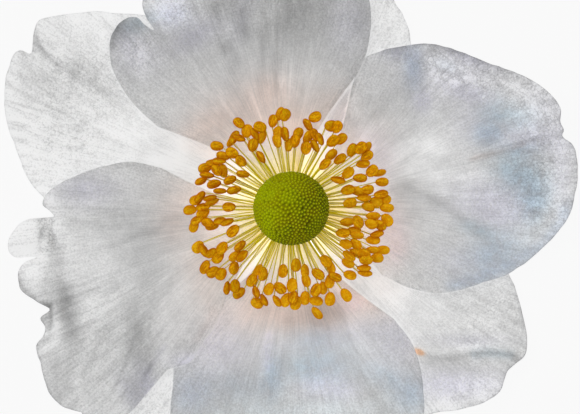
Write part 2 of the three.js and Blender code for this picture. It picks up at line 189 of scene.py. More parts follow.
class Shader:
    """A material made of nodes. Each call adds one node and gives back its output."""

    def __init__(self, name):
        self.material = bpy.data.materials.new(name)
        self.material.use_nodes = True
        self.tree = self.material.node_tree
        self.tree.nodes.clear()

    def node(self, kind, inputs, output=0, **settings):
        made = self.tree.nodes.new("ShaderNode" + kind)
        for key, value in settings.items():
            setattr(made, key, value)
        for key, value in inputs.items():
            if isinstance(value, bpy.types.NodeSocket):
                self.tree.links.new(value, made.inputs[key])
            else:
                made.inputs[key].default_value = value
        return made.outputs[output]

    def mark(self, name):
        return self.node("Attribute", {}, "Fac", attribute_name=name)

    def place(self):
        return self.node("TexCoord", {}, "Object")

    def vector(self, x, y, z=0.0):
        return self.node("CombineXYZ", {0: x, 1: y, 2: z})

    def math(self, operation, a, b=0.0, c=0.0):
        return self.node("Math", {0: a, 1: b, 2: c}, operation=operation)

    def times(self, a, b):
        return self.math("MULTIPLY", a, b)

    def scaled(self, value, strength, base=1.0):
        """The value times the strength, plus the base."""
        return self.math("MULTIPLY_ADD", value, strength, base)

    def noise(self, vector, scale, detail=2.0, roughness=0.5, distortion=0.0):
        inputs = {"Vector": vector, "Scale": scale, "Detail": detail, "Roughness": roughness}
        return self.node("TexNoise", {**inputs, "Distortion": distortion}, "Fac")

    def lines(self, noise, width):
        """1 on the thin wandering lines where a noise is one half."""
        return self.span(self.math("ABSOLUTE", self.math("SUBTRACT", noise, 0.5)), 0.0, width, 1.0, 0.0)

    def cells(self, vector, scale, feature="F1", randomness=1.0):
        inputs = {"Vector": vector, "Scale": scale, "Randomness": randomness}
        return self.node("TexVoronoi", inputs, "Distance", feature=feature)

    def span(self, value, low, high, to_low=0.0, to_high=1.0, kind="SMOOTHSTEP"):
        inputs = {"Value": value, "From Min": low, "From Max": high, "To Min": to_low, "To Max": to_high}
        return self.node("MapRange", inputs, "Result", interpolation_type=kind)

    def mix(self, share, a, b, blend="MIX"):
        """Mixes two colours."""
        return self.node("Mix", {0: share, 6: a, 7: b}, 2, data_type="RGBA", blend_type=blend)

    def layer(self, under, value, low, high, share, *srgb):
        """Lays a paint over a colour: none where the value is low, and that share where it is high."""
        return self.mix(self.span(value, low, high, 0.0, share), under, paint(*srgb))

    def bump(self, height, depth, strength=1.0):
        return self.node("Bump", {"Height": height, "Distance": depth * MM, "Strength": strength})

    def principled(self, **inputs):
        return self.node("BsdfPrincipled", {key.replace("_", " "): value for key, value in inputs.items()})

    def grained(self, colour, grain, rough, depth, strength, shine):
        """A surface with fine grain, which its roughness and its bumps follow."""
        rough, normal = self.span(grain, 0.3, 0.7, *rough), self.bump(grain, depth, strength)
        return self.principled(Base_Color=colour, Roughness=rough, Normal=normal, Specular_IOR_Level=shine)

    def translucent(self, through, front, behind):
        """A surface that lets a share of the light through."""
        return self.finish(self.node("MixShader", {0: through, 1: front, 2: behind}))

    def finish(self, surface):
        out = self.tree.nodes.new("ShaderNodeOutputMaterial")
        self.tree.links.new(surface, out.inputs["Surface"])
        return self.material


# ---------------------------------------------------------------- petals: their shape

# How a tone in the photograph becomes the albedo of the tissue.
FULL_TONE, FULL_ALBEDO, TONE_CURVE = 0.744, 0.90, 0.52
TONE_RANGE = (20, 280)
# Painted light: a petal is painted paler where it lies on another, where another hides it, and in a line beside
# the margin of the petal above, against the shade that these layers and that margin cast.
LAYER_LOSS = 0.065  # a petal that lies on another is this much paler, to look as light as in the photograph
COVERED_ALBEDO = 0.985  # where a petal is hidden by another it is paler, so it hardly shows through
HALO = 0.17  # and so is a line this wide beside the petal above
STAMEN_SHADE = (13.6, 9.6)  # radii between which the shade of the stamens begins
RING_LIFT, RING_PINK = 17, 0.35  # tone and pink added there against it
# Painted light: the yellow inwards stands in for light thrown on the tissue by the yellow stamens.
WARM_RADII = (9.2, 4.8)  # between these the tissue turns yellow inwards
RUFFLE_SHARE = 0.55  # of the height of the waves in the solids
THIN = 0.26  # thickness of the real tissue
RIM_SHARE, RIM_WIDTH = 0.4, 0.4  # share of the thickness at the rim, and how far in it is thinner
LEAST_UPRIGHT = 0.5  # steeper tissue is made no thicker seen from above
FOOT_REACH = -0.02  # the feet run on a little way into the receptacle
SETTLE = HALF_BLADE - THIN / 2  # the thin petals lie this much lower than the middles of the thick ones
COLUMN_STEP = 0.27
ROW_STEP = 0.27
CURVE_STEPS = 40  # between two given points of a margin
JAGS = (0.09, 0.9)  # fine unevenness of the margins: height and length
SWELLS = ((0.10, 5, 25, 10), (0.035, 2.1, 14, 30))  # height, degrees across, mm along, first seed
RIPPLES = ((1, 1.5, 50), (0.5, 0.8, 70))  # of crinkled tissue: share of their height, size in mm, first seed
RIPPLE_HEIGHT = 0.08
RELIEF_RADII = (4, 10)  # relief fades between these, towards the feet
PATCH_FALL = 1.2  # how soon a patch dies away
LEAST_CRINKLE = 0.15

# margin, lift and ruffle: as in the solids. lies_on: front petals under its raised side. tone: how light the
# petal looks, from 0 to 255.
PETALS = [
    {
        "name": "front_top", "axis": 104, "level": 1, "lift": (84, 73), "ruffle": (0.7, 13, -20, 46),
        "tone": 194, "lies_on": ["front_right"],
        "margin": [
            (8.2, 16.7), (9.2, 18.9), (9.7, 21.2), (9.9, 23.5), (9.6, 25.8), (9.0, 28.0), (7.4, 30.2),
            (4.4, 32.0), (0.8, 33.0), (-3.2, 33.4), (-7.6, 32.9), (-11.8, 31.5), (-15.3, 29.4), (-17.5, 27.2),
            (-18.4, 25.2), (-17.9, 23.6), (-17.0, 22.1), (-18.2, 22.8), (-19.0, 23.6), (-20.2, 23.6),
            (-21.4, 22.8), (-22.2, 21.6), (-22.5, 19.9), (-22.3, 17.9), (-21.5, 15.9), (-20.3, 13.9),
            (-18.6, 12.0), (-16.6, 10.2),
        ],
    },
    {
        "name": "front_right", "axis": 12, "level": 1, "lift": None, "ruffle": (0.7, 14, -52, 44),
        "tone": 202, "lies_on": [],
        "margin": [
            (11.3, -8.3), (15.1, -10.0), (19.1, -10.5), (23.5, -9.3), (26.9, -8.1), (30.8, -5.1),
            (33.9, -1.3), (35.0, 2.3), (35.1, 5.4), (34.5, 7.8), (33.3, 9.0), (33.5, 9.6), (33.1, 10.6),
            (33.1, 12.3), (31.5, 14.4), (29.1, 16.2), (24.5, 18.0), (20.4, 19.6), (17.0, 20.4), (13.6, 20.1),
            (11.3, 19.6), (9.3, 18.8), (8.4, 17.3), (7.7, 15.6), (7.3, 13.9), (7.0, 12.2),
        ],
    },
    {
        "name": "front_bottom", "axis": 270, "level": 1, "lift": None, "ruffle": (0.6, 12, -24, 46),
        "tone": 195, "lies_on": [],
        "margin": [
            (-10.7, -13.0), (-12.6, -15.8), (-14.0, -18.2), (-14.6, -20.0), (-14.7, -22.2), (-15.0, -25.3),
            (-14.9, -27.5), (-13.8, -29.8), (-11.5, -31.7), (-8.0, -33.0), (-4.0, -33.4), (-0.8, -32.9),
            (2.2, -33.3), (5.6, -33.3), (9.2, -32.5), (12.6, -30.9), (15.2, -28.4), (16.4, -25.3),
            (16.4, -22.8), (16.0, -19.6), (14.9, -16.6), (12.8, -13.8),
        ],
    },
    {
        "name": "front_left", "axis": 198, "level": 1, "lift": (217, 229), "ruffle": (1.2, 9, -34, 24),
        "tone": 206, "lies_on": ["front_bottom"],
        "margin": [
            (-16.1, 5.0), (-19.9, 5.8), (-22.7, 5.4), (-25.1, 4.7), (-27.0, 3.9), (-29.0, 2.9), (-30.2, 1.8),
            (-30.7, 0.5), (-29.9, -0.3), (-29.3, -1.0), (-30.7, -1.1), (-31.9, -1.2), (-33.3, -1.8),
            (-34.2, -2.8), (-34.8, -4.2), (-34.7, -5.4), (-34.0, -6.0), (-31.4, -6.0), (-32.9, -6.7),
            (-33.6, -7.7), (-33.6, -8.8), (-33.2, -10.0), (-32.3, -10.9), (-31.0, -11.7), (-29.8, -12.5),
            (-30.8, -13.5), (-30.2, -14.6), (-30.4, -15.6), (-31.2, -16.7), (-31.0, -17.9), (-30.4, -19.5),
            (-30.0, -21.3), (-29.4, -22.8), (-27.9, -24.2), (-25.8, -25.0), (-23.4, -25.8), (-21.0, -25.8),
            (-19.6, -24.9), (-17.8, -22.8), (-16.4, -21.2), (-15.4, -20.0), (-14.1, -19.6), (-12.4, -18.9),
            (-11.1, -16.8), (-9.6, -14.9), (-8.8, -13.2),
        ],
    },
    {
        "name": "back_upper_right", "axis": 72, "level": 0, "lift": None, "ruffle": None,
        "tone": 224, "lies_on": [],
        "margin": [
            (11.5, 7.8), (13.4, 9.0), (15.2, 11.5), (15.9, 14.6), (15.6, 18.0), (14.9, 20.5), (14.6, 22.3),
            (13.9, 24.0), (12.9, 25.6), (12.5, 27.6), (11.9, 29.7), (10.2, 31.6), (7.4, 32.8), (4.2, 33.1),
            (1.2, 32.2), (-1.0, 30.0), (-2.2, 26.5), (-2.4, 22.0), (-2.0, 17.5),
        ],
    },
    {
        "name": "back_upper_left", "axis": 153, "level": 0, "lift": None, "ruffle": None,
        "tone": 229, "lies_on": [],
        "margin": [
            (-14.4, 22.1), (-16.4, 23.7), (-18.8, 24.1), (-22.0, 24.3), (-24.5, 24.5), (-26.8, 24.2),
            (-29.5, 23.7), (-30.8, 23.3), (-31.5, 22.1), (-31.7, 20.6), (-32.0, 19.0), (-33.1, 19.35),
            (-33.9, 18.9), (-34.4, 17.4), (-34.9, 15.8), (-35.2, 13.4), (-35.1, 11.1), (-34.7, 9.4),
            (-33.8, 6.8), (-32.6, 3.7), (-30.8, 1.4), (-28.6, -0.3), (-25.5, -1.5), (-21.5, -1.8),
            (-17.6, -1.5),
        ],
    },
    {
        "name": "back_lower_left", "axis": 233, "level": 0, "lift": None, "ruffle": None,
        "tone": 232, "lies_on": [],
        "margin": [
            (-15.5, -5.8), (-19.5, -8.3), (-22.8, -11.5), (-25.0, -15.5), (-26.3, -19.5), (-26.6, -22.6),
            (-25.6, -25.6), (-23.3, -28.2), (-20.3, -30.2), (-16.8, -31.3), (-13.4, -31.2), (-10.4, -29.6),
            (-8.0, -27.0), (-6.2, -23.5), (-5.0, -19.5), (-4.3, -16.0),
        ],
    },
    {
        "name": "back_lower_right", "axis": 323, "level": 0, "lift": None, "ruffle": None,
        "tone": 214, "lies_on": [],
        "margin": [
            (8.9, -20.0), (10.9, -23.4), (13.4, -25.4), (16.0, -25.8), (18.4, -25.2), (20.6, -24.9),
            (23.5, -24.0), (25.8, -22.5), (26.6, -20.4), (27.7, -19.3), (29.0, -18.2), (29.3, -16.2),
            (29.0, -14.1), (28.5, -11.9), (27.9, -10.0), (27.2, -8.4), (25.6, -6.0), (23.2, -3.6),
            (20.1, -0.9), (16.8, 1.3), (13.6, 2.6),
        ],
    },
]

# What the photograph shows on each petal. Places were read off. Strengths were set and corrected,
# round by round, from printed differences between render and photograph, so they hold some of its light and
# shade too. A patch is x px, y px, half-width px, half-height px and turn in degrees, and a crease is its
# points in px and its half-width px. Then come the strengths of the effects that the key names. They are
# added: z is a height in mm, tone lightens, and the others go from 0 to about 1. fade makes the margin pale,
# veins darkens the veins, and bubbles are small pale spots.
PATCHES = {
    "front_top": {
        "tone": [
            (285, 6, 60, 36, 0, -33), (224, 24, 14, 26, -28, 12), (150, 4, 12, 10, 0, 16),
            (218, 6, 20, 11, 0, -22), (168, 3, 14, 8, 0, 20), (214, 44, 10, 14, 0, -8),
            (150, 118, 20, 12, -30, -6), (238, 84, 22, 26, 0, -6), (330, 30, 20, 34, 0, -5),
            (120, 24, 16, 7, -40, -12), (196, 95, 14, 14, 0, 6), (226, 30, 9, 10, 0, 8),
            (272, 10, 16, 14, 0, 12), (116, 26, 10, 16, 20, -14), (326, 70, 20, 40, 0, 6),
            (350, 70, 9, 24, 15, -8), (182, 34, 22, 14, 0, -10), (136, 30, 26, 20, 0, -7),
            (366, 30, 10, 34, 0, -8), (240, 84, 14, 22, 0, -5), (290, 90, 10, 30, 0, 10),
            (182, 84, 16, 20, 0, 5), (236, 50, 12, 30, -12, -7), (188, 122, 26, 22, 0, 9),
            (342, 62, 14, 22, 0, 7), (304, 84, 16, 30, 0, 5), (250, 10, 22, 14, 0, 8),
            (160, 12, 10, 12, 0, 16), (270, 105, 60, 40, 0, 6), (150, 90, 40, 34, -30, 4),
            (262, 50, 80, 30, 0, -8), (345, 60, 26, 34, 0, -6),
        ],
        "tone violet": [
            (240, 18, 12, 34, -15, -12, 0.3), (362, 16, 12, 28, 0, -18, 0.2), (122, 34, 12, 18, 0, -6, 0.3),
            (195, 34, 30, 14, 30, -12, 0.7),
        ],
        "tone violet blue crinkle": [(172, 12, 22, 16, 0, 16, 0.8, 0.2, 0.8)],
        "tone violet crinkle": [(136, 52, 26, 26, 0, 8, 0.4, 0.9)],
        "tone blue": [(136, 22, 20, 9, 20, -24, 0.7)],
        "tone pink": [
            (262, 112, 62, 34, 0, -10, 0.8), (334, 100, 20, 16, 40, -4, 0.3), (200, 128, 40, 18, 30, -2, 0.5),
        ],
        "violet crinkle": [(345, 22, 18, 34, 0, 0.4, 0.3)],
        "pink": [(268, 86, 22, 18, 0, 0.5)],
        "crinkle": [(255, 10, 120, 36, 0, 0.5)],
    },
    "front_right": {
        "tone": [
            (385, 92, 32, 50, 10, -14), (425, 145, 34, 16, 20, 20), (430, 172, 30, 10, -5, 16),
            (470, 178, 36, 10, 5, 8), (462, 130, 30, 14, 10, 8), (440, 205, 26, 8, -24, -16),
            (412, 262, 30, 34, -20, -6), (482, 66, 16, 9, -25, -12), (492, 148, 16, 12, 0, -14),
            (410, 96, 9, 46, 8, -14), (386, 92, 14, 30, 0, 9), (402, 190, 14, 12, 0, -10),
            (486, 88, 14, 10, 30, -10), (462, 226, 26, 10, 26, -12), (556, 174, 8, 18, 0, -10),
            (560, 220, 12, 26, 15, 18), (548, 240, 20, 12, -20, 12), (480, 236, 16, 10, 30, -8),
            (520, 288, 10, 10, 0, 10), (374, 268, 20, 34, 0, 38), (446, 62, 34, 12, 10, 12),
            (545, 120, 26, 34, 0, 8), (522, 118, 14, 16, 0, 6), (512, 82, 20, 7, 30, 10),
            (466, 158, 24, 9, -10, -8), (538, 218, 12, 14, 0, -8), (350, 245, 20, 40, 0, 26),
            (444, 150, 24, 10, -10, 16), (436, 112, 20, 14, 0, 9), (450, 70, 20, 4, 0, 8),
            (404, 84, 9, 24, 0, 7), (520, 245, 26, 12, -30, 6), (384, 214, 12, 20, 0, 8),
            (354, 104, 22, 30, 0, 5), (412, 215, 16, 20, 0, -6), (405, 188, 14, 12, 0, -8),
            (398, 46, 16, 8, 0, -12), (495, 80, 26, 8, 32, 12), (530, 90, 26, 18, 30, 10),
            (384, 200, 12, 26, 0, 8), (464, 68, 8, 4, -20, 22), (438, 77, 6, 5, 0, 34),
            (455, 81, 5, 5, 0, 40), (470, 78, 7, 4, -10, 26), (448, 73, 10, 3, -10, -14),
            (430, 70, 12, 3, 0, -14), (445, 92, 9, 4, -10, 14), (486, 96, 8, 5, -10, 12),
            (525, 228, 22, 12, 30, 8), (510, 205, 16, 10, 0, 8),
        ],
        "tone violet": [
            (478, 120, 28, 26, 0, -13, 0.4), (470, 55, 30, 8, -20, -8, 0.5), (424, 100, 10, 12, 0, -8, 0.8),
            (470, 92, 30, 10, -15, -4, 0.5), (505, 215, 26, 16, 0, -2, 0.5), (460, 262, 30, 20, 0, -4, 0.3),
            (545, 106, 30, 22, -35, 8, 0.3), (562, 170, 13, 40, 0, 16, 0.4),
        ],
        "tone violet blue": [
            (398, 50, 20, 10, -8, -22, 0.6, 0.1), (415, 66, 10, 22, 0, -22, 0.6, 0.6),
            (490, 134, 16, 12, 0, -18, 0.3, 0.8), (522, 174, 22, 22, 0, -28, 0.2, 0.9),
            (536, 200, 16, 24, -10, -14, 0.2, 1.0), (498, 252, 34, 20, 25, -14, 0.4, 0.7),
        ],
        "tone violet pink": [
            (366, 140, 16, 14, -40, 22, 0.4, 0.2), (392, 222, 16, 26, 0, 6, 0.4, 0.5),
            (398, 250, 14, 22, -20, 8, 0.4, 0.6), (384, 160, 16, 30, 0, 4, 0.4, 0.3),
        ],
        "tone blue": [
            (446, 64, 13, 6, -20, 32, 0.3), (498, 112, 18, 16, 0, -12, 0.6), (520, 118, 20, 14, 0, -4, 0.5),
            (520, 150, 20, 8, 10, -12, 0.6), (505, 168, 16, 12, 0, -8, 0.4), (480, 230, 18, 8, -20, -12, 0.7),
        ],
        "tone crinkle": [(430, 60, 6, 5, 0, 40, 1)],
        "z": [(455, 90, 50, 25, -14, 0.35), (530, 190, 35, 40, 0, 0.4)],
        "violet": [(490, 200, 42, 24, 0, 0.7), (530, 138, 36, 18, 0, 0.7), (455, 70, 60, 30, 0, 0.4)],
        "crinkle": [
            (468, 70, 80, 26, -14, 1.0), (545, 110, 35, 45, 0, 0.9), (550, 200, 34, 60, 0, 0.9),
            (500, 180, 60, 60, 0, 0.5),
        ],
        "bubbles": [(450, 68, 30, 16, 10, 1.2), (500, 86, 26, 12, 35, 0.5)],
    },
    "front_bottom": {
        "tone": [
            (232, 303, 14, 10, 0, 16), (268, 338, 9, 26, 0, 12), (352, 300, 26, 12, -30, 26),
            (366, 316, 16, 10, -30, 6), (204, 350, 8, 22, 22, 8), (232, 358, 14, 26, 0, -10),
            (286, 318, 40, 14, 0, -9), (340, 412, 56, 9, 0, 16), (392, 316, 14, 12, 0, 10),
            (346, 326, 20, 20, 0, 8), (310, 352, 14, 24, 0, -5), (206, 335, 8, 20, 20, 10),
            (404, 384, 14, 14, 0, 6), (320, 412, 30, 8, 0, 8), (352, 400, 14, 10, 0, 8),
            (292, 326, 26, 14, 0, -5), (240, 356, 16, 24, 0, 6), (270, 368, 14, 20, 0, 6),
            (378, 364, 26, 14, -30, 10), (225, 412, 50, 8, 0, 8),
        ],
        "tone violet": [
            (225, 355, 40, 24, 0, 2, 0.3), (335, 336, 60, 14, 10, 2, 0.4), (318, 388, 24, 14, 0, 12, 0.6),
            (345, 392, 18, 12, 0, 10, 0.5), (400, 345, 30, 26, 0, 2, 0.5),
        ],
        "tone violet blue": [
            (240, 388, 40, 16, 0, -12, 0.2, 0.3), (273, 376, 12, 26, -8, -14, 0.3, 0.6),
            (190, 395, 22, 22, 0, -8, 0.5, 0.3), (390, 380, 30, 14, -24, -4, 0.2, 0.45),
            (412, 397, 18, 18, 0, -4, 0.3, 0.45),
        ],
        "tone blue": [
            (316, 340, 30, 12, 0, -6, 0.4), (305, 370, 26, 14, 0, -6, 0.6), (300, 412, 130, 14, 0, -2, 0.3),
        ],
        "tone pink": [
            (262, 312, 40, 24, 0, 12, 0.9), (322, 314, 30, 20, 0, -24, 1.1), (205, 325, 30, 40, 20, 8, 0.2),
        ],
        "violet": [(215, 340, 30, 40, 0, 0.3), (352, 304, 16, 12, 0, 0.6)],
        "violet blue": [(328, 366, 34, 26, 0, 0.3, 0.4)],
        "pink": [(288, 312, 16, 22, 0, 0.6), (360, 300, 34, 18, -20, 0.9)],
        "crinkle": [(300, 395, 130, 30, 0, 0.4)],
    },
    "front_left": {
        "tone": [
            (136, 350, 12, 50, 8, -26), (146, 276, 20, 40, 0, -13), (100, 312, 20, 22, 0, 6),
            (122, 362, 14, 30, 10, -6), (134, 404, 12, 14, 0, -16), (112, 384, 30, 30, 0, 13),
            (42, 262, 6, 5, 0, 16), (32, 270, 6, 5, 0, 14), (66, 300, 7, 30, -14, -14),
            (56, 318, 4, 6, 0, 14), (55, 336, 5, 8, 0, 14), (48, 350, 8, 7, 0, 10), (70, 282, 16, 10, 0, 6),
            (84, 205, 20, 10, 0, 5), (187, 236, 14, 44, 0, 9), (130, 203, 20, 14, 0, 6),
            (52, 229, 6, 9, 0, 24), (100, 320, 20, 14, 0, 6), (190, 290, 20, 26, -20, 8),
            (110, 206, 22, 10, 0, 8), (60, 222, 8, 12, 0, 10), (50, 390, 10, 24, -10, 8),
            (160, 240, 30, 8, 0, 5), (88, 290, 12, 12, 0, -10), (106, 328, 12, 12, 0, -5),
            (46, 232, 8, 12, 0, -12), (52, 252, 8, 8, 0, -10), (152, 192, 16, 14, 0, -9),
            (100, 304, 16, 16, 0, 6), (150, 228, 16, 12, 0, 8), (204, 240, 12, 30, 0, 10),
            (88, 322, 10, 30, 0, 8), (126, 214, 50, 24, 0, -20), (146, 250, 30, 20, 0, -8),
            (51, 206, 9, 12, 0, 24), (51, 228, 9, 16, 0, 34), (40, 254, 10, 9, 0, 22),
            (46, 270, 12, 10, 0, -12), (54, 257, 8, 10, 0, -10), (46, 286, 13, 12, 0, -14),
            (58, 311, 8, 12, 0, -20), (64, 278, 10, 14, 0, 16), (76, 334, 8, 20, 0, -18),
            (188, 346, 16, 10, 0, -20), (46, 376, 7, 20, 0, 10), (64, 405, 12, 8, 0, 10),
            (106, 326, 8, 12, 0, -10), (95, 265, 30, 26, 0, 8), (75, 232, 24, 16, 0, 8),
            (150, 236, 40, 8, 0, -12), (130, 300, 26, 20, 0, 6), (105, 300, 20, 14, 0, 6),
            (120, 350, 24, 36, 15, 2), (178, 345, 20, 16, 0, 4), (146, 345, 12, 34, 14, -14),
            (205, 335, 12, 30, 25, -8), (44, 222, 8, 10, 0, 8), (30, 288, 10, 12, 0, 6),
            (54, 318, 5, 8, 0, 10), (44, 348, 8, 10, 0, 14), (62, 290, 10, 14, 0, -20),
            (70, 318, 7, 22, 0, -20), (44, 314, 5, 8, 0, -26), (52, 380, 12, 26, -10, -10),
            (75, 365, 20, 20, 0, -2), (60, 400, 14, 10, 0, -6), (175, 228, 40, 20, 0, -22),
            (190, 250, 30, 16, 30, -12),
        ],
        "tone z": [(46, 288, 14, 10, -30, 12, 0.3), (57, 332, 7, 16, -6, 26, 0.5)],
        "tone z pink": [(182, 308, 26, 40, -14, -4, 0.35, 0.1)],
        "tone z crinkle": [(36, 268, 12, 12, 0, 26, 0.5, 0.5)],
        "tone z veins": [(22, 238, 16, 22, 0, 46, 0.4, 1.0)],
        "tone violet": [
            (85, 190, 30, 16, 0, -6, 0.6), (132, 396, 10, 24, 30, -20, 0.5), (150, 392, 10, 30, 24, -14, 0.8),
            (190, 362, 22, 8, 0, -4, 0.7),
        ],
        "tone pink": [(208, 300, 16, 30, 20, -6, 0.3)],
        "tone crinkle": [
            (44, 221, 9, 8, 0, -30, 1.2), (50, 238, 5, 9, 0, -18, 0.8), (47, 240, 7, 16, -10, -14, 1),
        ],
        "tone fade": [(14, 238, 16, 24, 0, 26, 0.6), (18, 240, 22, 26, 0, 26, 1.6)],
        "pink": [
            (174, 226, 22, 26, 0, 0.5), (190, 195, 34, 26, 0, 0.4), (212, 215, 16, 30, 0, 0.4),
            (205, 262, 26, 24, 0, 0.4),
        ],
        "crinkle": [
            (46, 284, 26, 22, 0, -0.9), (60, 320, 20, 40, -8, -1.0), (60, 300, 40, 80, 0, 0.3),
            (30, 236, 20, 20, 0, 0.5),
        ],
        "crinkle veins": [(100, 340, 80, 70, 0, 0.4, 1.2)],
    },
    "back_upper_right": {
        "tone": [(404, 34, 10, 20, 0, -6), (385, 40, 12, 16, 0, -6)],
        "tone violet pink": [(344, 118, 18, 24, 0, 6, 0.3, 0.4)],
        "tone pink": [(344, 108, 30, 9, 63, -30, 0.2)],
        "tone fade": [(402, 22, 12, 22, 0, 10, 0.8)],
        "pink": [(384, 128, 24, 16, -40, 0.3)],
        "crinkle": [(400, 22, 30, 40, 0, 0.5)],
    },
    "back_upper_left": {
        "tone": [
            (84, 72, 46, 22, -20, -14), (50, 92, 24, 24, 0, -8), (70, 130, 20, 20, -30, -6),
            (110, 125, 34, 18, -35, 8), (165, 142, 50, 20, -20, 3), (100, 34, 24, 18, 0, 8),
            (24, 66, 10, 16, 0, -12), (85, 82, 26, 18, 0, -8), (72, 66, 14, 12, 0, -6),
            (50, 56, 14, 12, 40, 12), (66, 160, 20, 14, 0, 8), (66, 154, 18, 16, 0, 6),
            (70, 66, 11, 11, 0, -10), (90, 86, 16, 10, 0, -11), (150, 18, 60, 6, 0, 10),
            (152, 24, 6, 8, -30, 26), (26, 66, 18, 12, 0, -10), (12, 110, 14, 30, 0, 12),
            (152, 163, 36, 11, 0, 15), (46, 26, 16, 10, 0, -8), (96, 12, 40, 10, 0, -6),
            (60, 86, 20, 18, 0, -8), (30, 190, 24, 20, 0, 8),
        ],
        "tone veins": [
            (28, 150, 22, 46, 10, 12, 0.8), (38, 130, 34, 40, 0, 9, 0.5), (60, 185, 24, 12, 0, 8, 0.8),
        ],
        "tone veins fade": [(4, 100, 26, 60, 0, 14, 0.8, 1.2)],
        "tone fade": [(8, 74, 10, 24, 0, 20, 0.8)],
        "z": [(70, 60, 40, 25, 0, 0.4)],
        "pink": [(204, 148, 26, 12, -20, 0.4)],
        "crinkle": [(80, 80, 75, 60, 0, 0.8), (60, 150, 50, 40, 0, 0.6)],
        "fade": [(34, 186, 40, 34, 40, 1.0), (92, 12, 70, 14, 0, 0.9), (40, 24, 14, 16, 0, 0.6)],
    },
    "back_lower_left": {
        "tone": [(160, 372, 16, 12, 0, 4), (136, 405, 16, 12, 0, -5)],
        "crinkle": [(150, 400, 40, 40, 0, 0.6)],
    },
    "back_lower_right": {
        "tone": [
            (405, 308, 20, 22, -30, 6), (440, 318, 26, 14, 0, 4), (456, 368, 44, 9, -4, -20),
            (520, 356, 8, 8, 0, -16), (480, 348, 30, 4, -4, 16), (412, 388, 24, 14, 0, 8),
            (490, 392, 12, 12, 0, 16), (480, 328, 30, 10, 0, 8), (456, 376, 30, 14, 0, -9),
            (516, 330, 9, 26, 0, -8), (488, 390, 9, 9, 0, 14), (508, 287, 9, 10, 0, 14),
            (480, 300, 30, 18, 0, -3), (510, 300, 14, 24, 0, -6), (495, 330, 26, 12, -6, 6),
        ],
        "tone violet": [
            (470, 342, 40, 7, 0, -10, 0.4), (450, 386, 34, 16, 0, 4, 0.8), (490, 382, 24, 14, 0, 2, 0.3),
        ],
        "tone pink": [(384, 284, 30, 18, -38, 22, 0.2)],
        "tone rust": [(421, 354, 4.5, 2.2, -20, -10, 3.0)],
        "tone veins fade": [(446, 408, 30, 8, 0, 12, 1.0, 0.9)],
        "z": [(470, 335, 50, 16, 0, 0.35)],
        "crinkle": [(490, 320, 60, 60, 0, 0.55), (480, 395, 50, 20, 0, 0.7)],
    },
}
